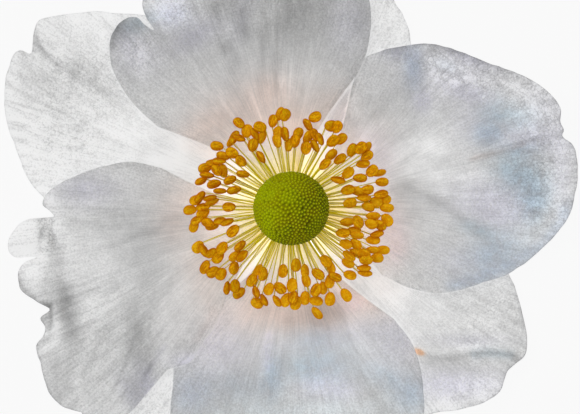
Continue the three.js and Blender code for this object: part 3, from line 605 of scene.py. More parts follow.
CREASES = {
    "front_top": {
        "tone": [
            ([(151, 22), (143, 13), (130, 12), (118, 20), (111, 34), (110, 54)], 4, -36),
            ([(214, -6), (216, 16), (221, 38), (227, 56)], 5, -20),
            ([(232, -6), (230, 10), (233, 26)], 6, -12), ([(196, 60), (215, 84), (240, 112)], 2, 6),
            ([(292, 60), (290, 84), (288, 106)], 1.6, 8),
        ],
        "tone z": [
            ([(262, 0), (262, 40), (264, 84)], 2.5, -9, -0.12),
            ([(279, 0), (277, 45), (275, 96)], 2.5, -10, -0.1),
            ([(240, 4), (243, 22), (248, 40)], 4, -16, -0.2),
            ([(212, 28), (222, 50), (234, 76)], 3, -8, -0.08),
            ([(216, 92), (226, 106), (236, 120)], 1.6, 14, 0.03),
            ([(249, 88), (255, 104), (262, 120)], 1.8, 14, 0.03),
            ([(283, 70), (281, 92), (279, 110)], 1.6, 10, 0.03),
        ],
    },
    "front_right": {
        "tone": [
            ([(440, 158), (470, 152), (500, 144), (530, 134)], 5, 8),
            ([(404, 176), (430, 178), (460, 176), (490, 172)], 2, 8),
            ([(402, 178), (430, 190), (470, 196), (505, 196)], 2, 8),
            ([(398, 172), (416, 150), (436, 122), (452, 98)], 3, -8),
            ([(400, 44), (430, 42), (462, 48), (500, 66), (530, 84), (552, 104), (561, 124)], 3, -10),
            ([(372, 53), (392, 45), (412, 42), (430, 41), (448, 45), (470, 54), (494, 64)], 3.5, -24),
        ],
        "tone z": [
            ([(405, 180), (425, 172), (450, 164), (470, 158), (493, 154), (513, 149), (531, 143), (546, 138),
              (558, 134)], 3, -4, -0.1),
            ([(400, 181), (415, 188), (430, 195), (445, 205), (460, 216), (472, 226)], 6, -8, -0.05),
            ([(362, 130), (372, 115), (390, 98), (402, 90)], 2.5, -8, -0.05),
            ([(428, 47), (440, 50), (450, 53), (458, 50)], 3, -18, -0.1),
        ],
        "tone violet blue": [
            ([(573, 190), (562, 222), (545, 245), (515, 264), (478, 281), (440, 289)], 7, -10, 0.4, 0.4),
        ],
        "tone pink": [([(468, 160), (482, 156), (500, 152), (516, 148), (530, 142)], 2.8, -15, 0.4)],
    },
    "front_bottom": {
        "tone": [
            ([(283, 306), (281, 335), (278, 360)], 1.6, 10), ([(296, 308), (297, 330)], 1.6, 8),
            ([(303, 306), (307, 330), (309, 350)], 1.6, 8), ([(262, 310), (258, 335), (250, 365)], 1.6, 6),
            ([(421, 350), (425, 380), (423, 412)], 4, -8), ([(173, 372), (169, 392), (169, 412)], 3, -10),
        ],
        "tone z": [
            ([(280, 320), (274, 360), (262, 400)], 3, -4, -0.1),
            ([(345, 322), (362, 345), (385, 365)], 2.5, 6, 0.06),
        ],
        "tone violet": [([(268, 376), (266, 350), (270, 330)], 5, 5, 0.5)],
    },
    "front_left": {
        "tone": [
            ([(58, 190), (74, 178), (96, 168), (122, 163), (150, 166), (178, 178), (192, 190)], 8, -10),
            ([(168, 224), (148, 234), (126, 240), (104, 246)], 4, -12),
            ([(17, 268), (18, 280), (26, 293), (36, 301), (47, 305), (49, 312)], 2.2, -38),
            ([(152, 288), (140, 297), (128, 309), (116, 324), (104, 340), (88, 362), (80, 384)], 1.3, -13),
            ([(146, 310), (136, 326), (130, 346), (124, 368), (112, 392), (108, 410)], 1.4, -16),
            ([(140, 318), (141, 338), (138, 356), (128, 380), (120, 404)], 1.3, -14),
            ([(150, 312), (147, 330), (151, 346), (160, 358)], 1.4, -14),
            ([(70, 290), (84, 284), (102, 277), (124, 268), (144, 259)], 1.2, -11),
            ([(176, 262), (152, 274), (132, 290), (116, 306), (100, 316)], 1.2, -9),
            ([(62, 352), (58, 366), (57, 382), (60, 398)], 1.3, -12),
            ([(72, 346), (68, 366), (70, 392)], 1.2, -10), ([(96, 352), (90, 374), (92, 398)], 1.2, -10),
            ([(37, 344), (39, 356), (44, 372)], 2, -14), ([(45, 372), (52, 392), (64, 404)], 3, -10),
            ([(238, 231), (200, 233), (160, 236), (130, 240)], 1.8, 8),
            ([(236, 238), (200, 246), (160, 259), (122, 274)], 1.8, 9),
            ([(195, 252), (170, 268), (140, 282)], 2, 6), ([(110, 276), (92, 284), (76, 296)], 2, 10),
            ([(180, 238), (150, 246), (120, 258), (96, 268)], 3, -6),
            ([(85, 350), (78, 372), (76, 398)], 2.5, 8), ([(104, 330), (92, 360), (84, 398)], 2, -8),
            ([(221, 312), (214, 328), (203, 343), (193, 358), (180, 366)], 1.5, 34),
            ([(156, 296), (146, 314), (138, 334), (128, 356), (118, 380), (108, 402)], 1.5, -16),
            ([(160, 326), (152, 346), (142, 364), (132, 384), (126, 404)], 1.4, -14),
            ([(152, 352), (148, 370), (140, 388)], 1.4, -12),
        ],
        "tone z": [
            ([(41, 226), (39, 240), (38, 254)], 1.8, -70, -0.2),
            ([(52, 216), (50, 228), (53, 240), (57, 252)], 3, -18, -0.3),
            ([(49, 302), (51, 320), (50, 332)], 2.0, -46, -0.3),
            ([(226, 256), (198, 266), (178, 284), (164, 300), (152, 318)], 1.8, 9, 0.06),
            ([(196, 266), (172, 286), (158, 304), (148, 326)], 5, -10, -0.12),
        ],
        "tone z crinkle": [([(60, 250), (62, 275), (65, 296), (69, 318), (70, 342)], 7, -12, -0.6, -0.6)],
        "tone violet": [([(168, 342), (160, 352), (150, 368), (140, 390)], 3, -14, 0.3)],
        "tone pink": [([(216, 306), (206, 326), (194, 344)], 4, -8, 0.2)],
    },
    "back_upper_right": {
        "tone": [([(406, 0), (412, 14), (412, 36)], 3, -10)],
    },
    "back_upper_left": {
        "tone": [
            ([(33, 42), (38, 50), (46, 60)], 2.5, -20), ([(22, 50), (28, 66), (40, 86)], 2.2, -14),
            ([(92, 84), (110, 104), (128, 118)], 2.5, -8),
            ([(66, 96), (80, 118), (110, 140), (160, 158)], 2, -6),
            ([(60, 110), (86, 140), (124, 158)], 2, 5), ([(120, 60), (150, 104), (185, 132)], 2, -4),
        ],
        "tone z": [
            ([(37, 26), (37, 40), (41, 48), (50, 58), (60, 66)], 2.2, -34, -0.4),
            ([(16, 66), (20, 74), (24, 84)], 2.5, -22, -0.2), ([(52, 62), (80, 76), (110, 98)], 3, -8, -0.12),
        ],
    },
    "back_lower_right": {
        "tone": [
            ([(418, 350), (440, 354), (465, 350), (490, 345)], 2.5, 10),
            ([(490, 340), (505, 346), (520, 354)], 3, 10), ([(522, 305), (526, 325), (524, 345)], 2.5, -14),
            ([(505, 280), (516, 292), (521, 305)], 3, -6),
        ],
        "tone z": [
            ([(420, 356), (436, 360), (455, 360), (475, 356), (495, 354), (512, 356),
              (523, 361)], 3.5, -20, -0.45), ([(440, 336), (460, 342), (480, 344)], 2.5, -8, -0.1),
        ],
        "tone blue": [([(470, 357), (488, 354), (504, 355), (518, 358)], 5, -12, 0.5)],
    },
}


def margin_curve(points):
    """The margin as an even row of points: the same curve through the given points as in the solids."""
    p = np.asarray(points, float)
    p = np.vstack([2 * p[0] - p[1], p, 2 * p[-1] - p[-2]])
    s = np.linspace(0, 1, CURVE_STEPS, endpoint=False)[:, None]
    spans = []
    for x0, x1, x2, x3 in zip(p[:-3], p[1:-2], p[2:-1], p[3:]):
        dt0, dt1, dt2 = (((b - a) @ (b - a)) ** 0.25 for a, b in ((x0, x1), (x1, x2), (x2, x3)))
        t1 = ((x1 - x0) / dt0 - (x2 - x0) / (dt0 + dt1) + (x2 - x1) / dt1) * dt1
        t2 = ((x2 - x1) / dt1 - (x3 - x1) / (dt1 + dt2) + (x3 - x2) / dt2) * dt1
        bend, twist = -3 * x1 + 3 * x2 - 2 * t1 - t2, 2 * x1 - 2 * x2 + t1 + t2
        spans.append(x1 + t1 * s + bend * s**2 + twist * s**3)
    fine = np.vstack([*spans, p[-2:-1]])
    run = np.concatenate([[0], np.cumsum(np.linalg.norm(np.diff(fine, axis=0), axis=1))])
    steps = np.linspace(0, run[-1], round(run[-1] / COLUMN_STEP) + 1)
    return np.stack([np.interp(steps, run, fine[:, 0]), np.interp(steps, run, fine[:, 1])], 1)


def spread_at(radius):
    """The share of its full angle that a petal fills at a radius."""
    return CLAW_SHARE + (1 - CLAW_SHARE) * np.sin(np.pi / 2 * share_of(radius, CLAW_RADIUS, FULL_RADIUS))


def layer_height(radius, turn):
    """The height of the middles of the back petals, as in the solids."""
    inwards = (BELLY_RADIUS - radius) / (BELLY_RADIUS - CLAW_RADIUS)
    outwards = (radius - BELLY_RADIUS) / (TIP_RADIUS - BELLY_RADIUS)
    tip = TIP_RISE + sum(height * np.sin(count * turn + phase) for count, height, phase in TIP_WAVES)
    rise = np.where(inwards > 0, CLAW_DROP * inwards**2, tip * outwards**2)
    return np.maximum(rise - BELLY_DEPTH, 0) + HALF_BLADE


def margin_lines(petal):
    """Each line from foot to margin: its angle from the axis in degrees, its radius and its evened radius."""
    places = margin_curve(petal["margin"])
    radius = np.linalg.norm(places, axis=1)
    turn = np.degrees(np.arctan2(places[:, 1], places[:, 0])) - petal["axis"]
    angle = ((turn + 180) % 360 - 180) / spread_at(radius)
    least = LEAST_TURN * (len(petal["margin"]) - 1) * 2 / len(places)
    for i in range(1, len(angle)):
        angle[i] = max(angle[i], angle[i - 1] + least)
    width, middle = np.diff(angle), (angle[1:] + angle[:-1]) / 2
    weight = width * share_of(np.abs(middle[None] - angle[:, None]), EVEN_WITHIN, 0)
    even = (weight * (radius[1:] + radius[:-1]) / 2).sum(1) / weight.sum(1)
    return angle, radius, np.minimum(even, radius * EVEN_LIMIT)


def patch_mask(x, y, cx, cy, half_x, half_y, turn):
    """1 in the middle of a patch, dying away softly over its half-sizes."""
    centre = plan([cx, cy])
    c, s = math.cos(math.radians(turn)), math.sin(math.radians(turn))
    dx, dy = x - centre[0], y - centre[1]
    u, v = (c * dx + s * dy) / (half_x * PX), (-s * dx + c * dy) / (half_y * PX)
    return np.exp(-PATCH_FALL * (u * u + v * v))


def line_mask(x, y, points, half_width):
    """1 on a line through the photograph, dying away over its half-width and towards its ends."""
    p = plan(points)
    best = np.full(x.shape, 1e9)
    along = np.zeros(x.shape)
    run, total = 0.0, np.linalg.norm(np.diff(p, axis=0), axis=1).sum()
    for a, b in zip(p[:-1], p[1:]):
        d = b - a
        length = np.hypot(*d)
        s = np.clip(((x - a[0]) * d[0] + (y - a[1]) * d[1]) / length**2, 0, 1)
        away = np.hypot(x - a[0] - s * d[0], y - a[1] - s * d[1])
        closer = away < best
        best = np.where(closer, away, best)
        along = np.where(closer, (run + s * length) / total, along)
        run += length
    ends = smooth(along, 0, 0.15) * smooth(along, 1, 0.9)
    return np.exp(-((best / (half_width * PX)) ** 2)) * ends


def petal_plan(number, petal):
    """The petal's grid from above: t from foot to margin, angle across, radius and turn about the axis."""
    angle, margin_radius, even = margin_lines(petal)
    rows = round((margin_radius.max() - CLAW_RADIUS) / ROW_STEP)
    t = np.linspace(FOOT_REACH, 1, rows)[:, None]
    reach = even + (margin_radius - even) * smooth(t, NOTCHES_START, 1)
    depth, length = JAGS
    jags = noise(np.cumsum(np.full(len(angle), COLUMN_STEP)) / length, 0.5, number)
    reach = reach + depth * jags * smooth(t, 0.9, 1)
    radius = CLAW_RADIUS + (reach - CLAW_RADIUS) * t
    across = np.broadcast_to(angle, radius.shape)
    return t, across, radius, np.radians(petal["axis"] + across * spread_at(radius))


def outline(number, petal):
    """The petal's outline from above, as a closed row of points."""
    _, _, radius, turn = petal_plan(number, petal)
    places = np.stack([radius * np.cos(turn), radius * np.sin(turn)], -1)
    return np.concatenate([places[::4, 0], places[-1, ::4], places[::-4, -1]])


def inside(x, y, points):
    """1 where a place is inside the outline, else 0."""
    hits = np.zeros(x.shape, int)
    for (x0, y0), (x1, y1) in zip(points, np.roll(points, -1, axis=0)):
        if y0 != y1:
            crosses = (y0 > y) != (y1 > y)
            hits += crosses & (x < (x1 - x0) * (y - y0) / (y1 - y0) + x0)
    return (hits % 2).astype(float)


def beneath(petal):
    """The names of the petals that this one may lie on."""
    return petal["lies_on"] + [other["name"] for other in PETALS if other["level"] < petal["level"]]


def petal_height(petal, across, radius, turn, t):
    """The height of the petal's middle without its relief, as in the solids."""
    z = layer_height(radius, turn) + LAYER * petal["level"] - SETTLE
    if petal["lift"]:
        raised = smooth(petal["axis"] + across * spread_at(radius), *petal["lift"])
        z += LAYER * raised * smooth(radius, LIFT_STARTS, LIFT_ENDS)
    if petal["ruffle"]:
        height, period, start, stop = petal["ruffle"]
        free = smooth(across, start, start + RUFFLE_FADE) * smooth(across, stop, stop - RUFFLE_FADE)
        wave = height * (1 - np.cos(2 * np.pi * (across - start) / period)) / 2
        z += RUFFLE_SHARE * wave * free * smooth(t, RUFFLE_STARTS, 1)
    return z


def effects_on(petal, x, y):
    """How strong each effect is at each place of the petal."""
    marks = {"tone": float(petal["tone"]) + 0 * x, "crinkle": LEAST_CRINKLE + 0 * x, "veins": 1 + 0 * x}
    marks.update({kind: 0 * x for kind in ("blue", "violet", "pink", "rust", "fade", "bubbles", "z")})
    for tables, mask_of in ((PATCHES, patch_mask), (CREASES, line_mask)):
        for key, entries in tables.get(petal["name"], {}).items():
            kinds = key.split()
            for entry in entries:
                mask = mask_of(x, y, *entry[: -len(kinds)])
                for kind, strength in zip(kinds, entry[-len(kinds) :]):
                    marks[kind] += strength * mask
    return marks


def distance_from_rim(x, y):
    """How far each place of a petal is from its margin, seen from above."""
    seen = np.stack([x, y, 0 * x], -1)
    low = len(x) // 4  # the rim begins here, above the feet
    rim = tree_of(np.concatenate([seen[-1], seen[low:, 0], seen[low:, -1]]))
    return np.array([rim.find(place)[2] for place in seen.reshape(-1, 3)]).reshape(x.shape)


def thin_sheet(x, y, z, edge):
    """Points and faces of a closed sheet of tissue round a grid of middles."""
    middle = np.stack([x, y, z], -1)
    normal = np.cross(np.gradient(middle, axis=1), np.gradient(middle, axis=0))
    upright = np.abs(normal[..., 2]) / np.maximum(np.linalg.norm(normal, axis=-1), 1e-9)
    half = THIN / 2 * (RIM_SHARE + (1 - RIM_SHARE) * smooth(edge, 0, RIM_WIDTH))
    half = half / np.maximum(upright, LEAST_UPRIGHT)
    top, under = np.stack([x, y, z + half], -1), np.stack([x, y, np.maximum(z - half, 0)], -1)
    upper, number = grid_faces(*x.shape), np.arange(x.size).reshape(x.shape)
    ring = np.concatenate([number[0], number[1:, -1], number[-1, -2::-1], number[-2:0:-1, 0]])
    after = np.roll(ring, -1)
    wall = np.stack([ring, ring + x.size, after + x.size, after], 1)
    faces = np.concatenate([upper, upper[:, ::-1] + x.size, wall])
    if normal[..., 2].mean() <= 0:
        faces = faces[:, ::-1]
    return np.concatenate([top.reshape(-1, 3), under.reshape(-1, 3)]), faces


def build_petal(number, petal, material):
    t, across, radius, turn = petal_plan(number, petal)
    x, y = radius * np.cos(turn), radius * np.sin(turn)
    marks = effects_on(petal, x, y)
    z = petal_height(petal, across, radius, turn, t) + marks.pop("z")
    low = smooth(radius, *RELIEF_RADII)
    for height, wide, long, seed in SWELLS:
        z += height * low * noise(across / wide, radius / long, seed + number)
    ripple = sum(share * noise(x / size, y / size, seed + number) for share, size, seed in RIPPLES)
    z += RIPPLE_HEIGHT * marks["crinkle"].clip(0, 1) * low * ripple
    marks["across"], marks["reach"] = across, np.broadcast_to(t, x.shape)
    marks["edge"] = distance_from_rim(x, y)
    points, faces = thin_sheet(x, y, z, marks["edge"])

    under = sum((inside(x, y, OUTLINES[name]) for name in beneath(petal)), 0 * x)
    above = [OUTLINES[other["name"]] for other in PETALS if petal["name"] in beneath(other)]
    shifts = [(i, j) for i in (-HALO, HALO) for j in (-HALO, HALO)]
    covered = sum((inside(x + i, y + j, outer) for outer in above for i, j in shifts), 0 * x)
    shaded = smooth(radius, *STAMEN_SHADE)
    marks["pink"] += RING_PINK * shaded
    marks["fade"] = marks["fade"].clip(0, 1)
    tone = (marks["tone"] + RING_LIFT * shaded).clip(*TONE_RANGE)
    # Painted light: paler where the petal lies on another, and nearly white where another hides it or its
    # margin lies close.
    albedo = FULL_ALBEDO * (linear(tone) / FULL_TONE) ** TONE_CURVE * (1 + LAYER_LOSS * under)
    marks["tone"] = np.where(covered > 0, COVERED_ALBEDO, albedo)
    # warm: painted yellow light from the stamens on the tissue near the feet.
    marks["under"], marks["warm"] = np.minimum(under, 1.0), smooth(radius, *WARM_RADII)
    both = {key: np.concatenate([value.ravel(), value.ravel()]) for key, value in marks.items()}
    return add_piece("petal_" + petal["name"], points, faces, material, "tepal_" + petal["name"], both)


# ---------------------------------------------------------------- petals: their tissue

THROUGH = 0.8  # share of the light that passes through a petal
LIGHTEST = 0.985
# blue and violet are cool greys laid with the darker tone patches and creases; in part they are painted shade
# in folds, at curled margins and over hidden layers.
TINTS = {  # how each effect tints the tissue
    "blue": (0.91, 1.0, 1.05), "violet": (0.985, 0.98, 1.035), "pink": (1.085, 0.985, 0.94),
    "warm": (1.0, 0.96, 0.74), "rust": (1.0, 0.74, 0.56),
}


def petal_material(name):
    """Thin white tissue with fine veins along it and a net of cells."""
    s = Shader(name)
    across, reach, edge, crinkle = s.mark("across"), s.mark("reach"), s.mark("edge"), s.mark("crinkle")
    fade, veins, place = s.mark("fade"), s.mark("veins"), s.place()

    def along(across_scale, reach_scale, start, detail, roughness, wander):
        """Noise drawn out along the petal."""
        way = s.vector(s.times(across, across_scale), s.times(reach, reach_scale), start)
        return s.noise(way, 1.0, detail, roughness, wander)

    def swing(value, low=0.3, high=0.7):
        """A value about one half, brought to run from -1 to 1."""
        return s.span(value, low, high, -1.0, 1.0)

    main_veins = s.lines(along(0.20, 1.2, 2.0, 1.0, 0.4, 0.45), 0.030)
    side_veins = s.lines(along(0.50, 3.4, 7.0, 1.0, 0.4, 0.45), 0.070)
    rim_lines = along(1.25, 9.0, 11.0, 2.0, 0.6, 0.3)
    fibres = along(1.7, 4.0, 0.0, 3.0, 0.7, 0.4)
    threads = along(4.2, 13.0, 5.0, 2.0, 0.6, 0.3)
    grain = s.noise(place, 4200.0, 3.0, 0.65)
    clouds = s.noise(place, 150.0, 4.0, 0.6, 0.4)
    mottle = s.noise(place, 620.0, 3.0, 0.6, 0.5)
    scribbles = s.lines(s.noise(place, 1450.0, 1.0, 0.5, 0.8), 0.055)
    net = s.cells(place, 1900.0, "DISTANCE_TO_EDGE")
    domes = s.cells(place, 1050.0, "F1", 0.7)
    sparks = s.cells(place, 2300.0)

    near_foot = s.span(reach, 0.9, 0.25)
    tone = s.mark("tone")
    pale = s.times(fade, s.span(s.scaled(fibres, 1.8, edge), 5.0, 1.4, 0.0, 0.95))
    tone = s.math("MULTIPLY_ADD", s.math("SUBTRACT", 1.0, tone), pale, tone)
    changes = (  # what the tone follows, and how much
        (s.times(main_veins, veins), s.scaled(near_foot, 0.10, -0.04)),
        (s.times(side_veins, veins), s.scaled(near_foot, 0.07, -0.05)),
        (s.times(swing(rim_lines, 0.35, 0.65), s.span(edge, 1.3, 0.1)), s.scaled(fade, 0.03, 0.05)),
        # painted shade of fine wrinkles: thin dark wandering lines over crinkled tissue
        (s.times(s.math("SUBTRACT", 0.3, scribbles), s.span(crinkle, 0.1, 1.2)), 0.19),
        (s.times(s.span(domes, 0.22, 0.42, 1.0, -0.5), s.mark("bubbles")), 0.12),
        (swing(grain), s.scaled(near_foot, -0.10, 0.14)),
        (swing(fibres), s.scaled(near_foot, 0.025, 0.045)),
        (swing(threads), 0.045), (swing(clouds), 0.025), (swing(mottle), 0.035),
        (s.times(s.span(net, 0.0, 0.16, -1.0, 0.5), crinkle), 0.09),
        # painted glints: small bright specks over crinkled tissue
        (s.times(s.span(sparks, 0.0, 0.3, 1.0, 0.0), s.span(crinkle, 0.3, 1.2)), 0.30),
        (s.times(swing(mottle, 0.4, 0.65), s.span(crinkle, 0.5, 1.3)), 0.07),
    )
    for value, strength in changes:
        tone = s.times(tone, s.scaled(value, strength))
    # Painted shade: a thin darker line along the margin, paler where the petal lies on another or its margin
    # fades.
    rim = s.scaled(s.math("MAXIMUM", s.mark("under"), fade), 0.14, 0.84)
    tone = s.math("MINIMUM", s.times(tone, s.span(edge, 0.0, 0.20, rim, 1.0)), LIGHTEST)

    uneven = {
        "blue": s.span(mottle, 0.3, 0.65, 0.5, 1.2),
        "violet": s.span(sparks, 0.15, 0.5, 0.4, 1.4),
        "pink": s.span(fibres, 0.3, 0.65, 0.7, 1.1),
    }
    tint = (1.0, 1.0, 1.0, 1.0)
    for effect, shade in TINTS.items():
        strength = s.times(s.mark(effect), uneven[effect]) if effect in uneven else s.mark(effect)
        tint = s.mix(s.math("MINIMUM", strength, 1.2), tint, s.mix(1.0, tint, (*shade, 1.0), "MULTIPLY"))
    colour = s.mix(1.0, tint, s.node("CombineColor", {0: tone, 1: tone, 2: tone}), "MULTIPLY")

    height = s.math("ADD", s.times(grain, 0.35), s.times(threads, 0.6))
    height = s.math("ADD", height, s.times(s.span(net, 0.0, 0.2), crinkle))
    normal = s.bump(height, 0.035, 0.9)
    rough = s.span(grain, 0.3, 0.7, 0.45, 0.62)
    front = s.principled(Base_Color=colour, Roughness=rough, Normal=normal, Specular_IOR_Level=0.3)
    return s.translucent(THROUGH, front, s.node("BsdfTranslucent", {"Color": colour, "Normal": normal}))


OUTLINES = {petal["name"]: outline(number, petal) for number, petal in enumerate(PETALS)}
TISSUES = [petal_material("petal_tissue_front"), petal_material("petal_tissue_back")]
for number, petal in enumerate(PETALS):
    behind = petal["level"] == 0
    build_petal(number, petal, TISSUES[behind])

# ---------------------------------------------------------------- receptacle and cut stalk

s = Shader("green_tissue")
place = s.place()
patchy, fine = s.noise(place, 900.0, 3.0, 0.6), s.noise(place, 5200.0, 2.0, 0.5)
green = s.mix(s.span(patchy, 0.3, 0.7), paint(128, 140, 48), paint(172, 176, 92))
pith = s.mix(s.span(fine, 0.35, 0.65), paint(196, 204, 140), paint(222, 224, 176))
green = s.mix(s.span(s.mark("cut"), 0.2, 0.8), green, pith)
green = s.layer(green, s.mark("rib"), 0.6, 1.0, 0.35, 94, 104, 34)
green_tissue = s.finish(s.grained(green, fine, (0.42, 0.62), 0.02, 0.6, 0.4))

# Radius and height, from the middle of the cut face up to the middle of the top.
PROFILE = [
    (0.0, 0.17), (0.35, 0.16), (0.6, 0.15), (0.8, 0.16), (0.92, 0.2), (0.96, 0.32), (0.95, 0.55), (1.0, 0.8),
    (1.3, 1.02), (1.75, 1.22), (2.1, 1.45), (2.22, 1.8), (2.22, 2.4), (2.25, 2.9), (2.5, 3.25), (2.95, 3.5),
    (3.2, 3.8), (3.15, 4.15), (2.9, 4.4), (2.4, 4.5), (1.9, 4.55), (1.5, 4.65), (1.1, 4.7), (0.5, 4.72),
    (0.0, 4.72),
]


PROFILE_STEPS, RECEPTACLE_SIDES = 5, 96
RIBS, RIB_DEPTH, RIB_DRIFT = 12, 0.03, 0.6


def build_receptacle():
    """The profile turned round the axis, with low ribs on its side and a rough cut face."""
    profile = np.asarray(PROFILE)
    steps = np.linspace(0, len(profile) - 1, (len(profile) - 1) * PROFILE_STEPS + 1)
    line = np.stack([np.interp(steps, np.arange(len(profile)), column) for column in profile.T])
    for _ in range(2):
        line[:, 1:-1] = (line[:, :-2] + 2 * line[:, 1:-1] + line[:, 2:]) / 4
    radius, height = line[:, 1:-1, None]
    turn = np.linspace(0, 2 * np.pi, RECEPTACLE_SIDES, endpoint=False)[None]
    side = smooth(height, 0.25, 0.5) * smooth(height, 3.4, 2.6)
    rib = (1 + np.cos(RIBS * turn + RIB_DRIFT * np.sin(3 * turn))) / 2
    wide = radius * (1 + RIB_DEPTH * rib * side + 0.012 * noise(turn * 3, height * 2, 5) * side)
    rough = 0.03 * noise(radius * 5 * np.cos(turn), radius * 5 * np.sin(turn), 6)
    level = height + rough * smooth(height, 0.3, 0.2)
    rings = np.stack([wide * np.cos(turn), wide * np.sin(turn), level], -1)
    points, faces = closed_tube(rings, [(0, 0, end) for end in (height[0, 0], height[-1, 0])])
    marks = {"cut": np.append(smooth(level, 0.28, 0.2), [1, 0]), "rib": np.append(rib * side, [0, 0])}
    return add_piece("receptacle_and_stalk", points, faces, green_tissue, "receptacle", marks)


build_receptacle()

# ---------------------------------------------------------------- carpels

CARPELS = 1340
CARPEL_SPACING = math.sqrt(4 * math.pi / CARPELS)  # on a ball of radius 1
SETTLING = 7  # times the carpels push each other apart
NEIGHBOURS, ROOM, PUSH = 6, 1.15, 0.28  # room in spacings
TIP_SHIFT = 0.05  # how far a tip is moved at random before that
BALL_ROWS, BALL_COLUMNS = 210, 430
BALL_POLE, BALL_FOOT = 0.004, math.pi * 0.82  # angles from the top at which its rows begin and end
BALL_STRETCH = (1.03, 1.0, 1.0)
# Painted highlights: the bright tips lean towards the light.
TIP_LEAN = (0.06, -0.06, 0.0)  # the bright tips sit a little up and left on their carpels
TO_LEE, TO_SHADE = (0.62, -0.62, -0.48), (0.80, -0.34, 0.0)  # away from the light: of a carpel, of the ball
VALLEY, BODY_HEIGHT, PEAK_HEIGHT, UNEVEN_HEIGHT = -0.22, 0.13, 0.10, 0.03
BODY_WIDTH, PEAK_WIDTH, TIP_WIDTH = 0.64, 0.30, 0.27  # in spacings


def unit(points):
    return points / np.linalg.norm(points, axis=1, keepdims=True)


def carpel_tips():
    """Where the tips of the carpels are, on a ball of radius 1."""
    i = np.arange(CARPELS)
    height = 1 - (2 * i + 1) / CARPELS
    level, turn = np.sqrt(1 - height**2), i * math.pi * (3 - math.sqrt(5))
    tips = np.stack([level * np.cos(turn), level * np.sin(turn), height], 1)
    tips += TIP_SHIFT * np.stack([lattice(i, i * 0 + axis, 21) for axis in range(3)], 1)
    for _ in range(SETTLING):
        tips = unit(tips)
        tree = tree_of(tips)
        near = np.array([[tips[found[1]] for found in tree.find_n(tip, NEIGHBOURS + 1)[1:]] for tip in tips])
        apart = tips[:, None] - near
        distance = np.linalg.norm(apart, axis=2, keepdims=True)
        tips = tips + (apart / distance * np.clip(ROOM * CARPEL_SPACING - distance, 0, None)).sum(1) * PUSH
    return unit(tips)


def build_carpels(material):
    tips = carpel_tips()
    tree = tree_of(tips)
    polar = np.linspace(BALL_POLE, BALL_FOOT, BALL_ROWS)[:, None]
    around = np.linspace(0, 2 * np.pi, BALL_COLUMNS, endpoint=False)[None]
    level, height = np.sin(polar), np.cos(polar) + 0 * around
    way = np.stack([level * np.cos(around), level * np.sin(around), height], -1).reshape(-1, 3)
    found = [tree.find(w) for w in way]
    owner, away = np.array([f[1] for f in found]), np.array([f[2] for f in found]) / CARPEL_SPACING
    offset = (way - tips[owner]) / CARPEL_SPACING
    uneven = lattice(owner, owner * 0 + 3, 9)
    body = np.sqrt(np.clip(1 - (away / BODY_WIDTH) ** 2, 0, 1))
    peak = np.exp(-((away / PEAK_WIDTH) ** 2))
    radius = BALL_RADIUS + VALLEY + BODY_HEIGHT * body + PEAK_HEIGHT * peak + UNEVEN_HEIGHT * uneven * body
    rings = (way * radius[:, None] * BALL_STRETCH + [0, 0, BALL_CENTRE_Z]).reshape(BALL_ROWS, BALL_COLUMNS, 3)
    highest = BALL_CENTRE_Z + BALL_RADIUS - 0.05
    lowest = BALL_CENTRE_Z + (BALL_RADIUS - 0.3) * math.cos(BALL_FOOT)
    points, faces = closed_tube(rings, [(0, 0, highest), (0, 0, lowest)])
    marks = {
        "tip": np.exp(-((np.linalg.norm(offset + TIP_LEAN, axis=1) / TIP_WIDTH) ** 2)),
        "body": body,
        "lee": smooth(offset @ TO_LEE, 0.05, 0.42),
        "own": uneven,
        "shade": smooth(way @ TO_SHADE + 0.10 * noise(way[:, 0] * 3, way[:, 1] * 3, 12), -0.45, 0.42),
    }
    marks = {key: np.append(values, [0.5, 0]) for key, values in marks.items()}
    faces = [face[::-1] for face in faces]  # the rows run downwards
    return add_piece("carpel_ball", points, faces, material, "carpels", marks)


s = Shader("carpel_green")
fine, broad = s.noise(s.place(), 9000.0, 2.0, 0.5), s.noise(s.place(), 420.0, 2.0, 0.5)
shade, body = s.mark("shade"), s.mark("body")
light_flank = s.mix(s.span(body, 0.1, 0.8), paint(112, 119, 0), paint(148, 160, 0))
dark_flank = s.mix(s.span(body, 0.1, 0.9), paint(48, 54, 0), paint(98, 104, 0))
skin = s.mix(shade, light_flank, dark_flank)
skin = s.layer(skin, s.mark("own"), -1.0, 1.0, 0.3, 146, 146, 0)
skin = s.layer(skin, broad, 0.38, 0.62, 0.45, 132, 116, 0)
# Painted shade and highlights: each carpel is darker on its side away from the light and has a bright tip
# leaning towards it, and both are darker on the ball's shaded side.
lee_green, tip_highlight_green = (s.mix(shade, *pair) for pair in (
    (paint(96, 94, 0), paint(26, 24, 0)), (paint(176, 188, 4), paint(170, 178, 12)),
))
skin = s.mix(s.span(s.mark("lee"), 0.0, 1.0, 0.0, 0.45), skin, lee_green)
skin = s.mix(s.span(s.mark("tip"), 0.2, 0.85, 0.0, 0.85), skin, tip_highlight_green)
build_carpels(s.finish(s.grained(skin, fine, (0.3, 0.45), 0.01, 0.4, 0.03)))

# ---------------------------------------------------------------- stamens

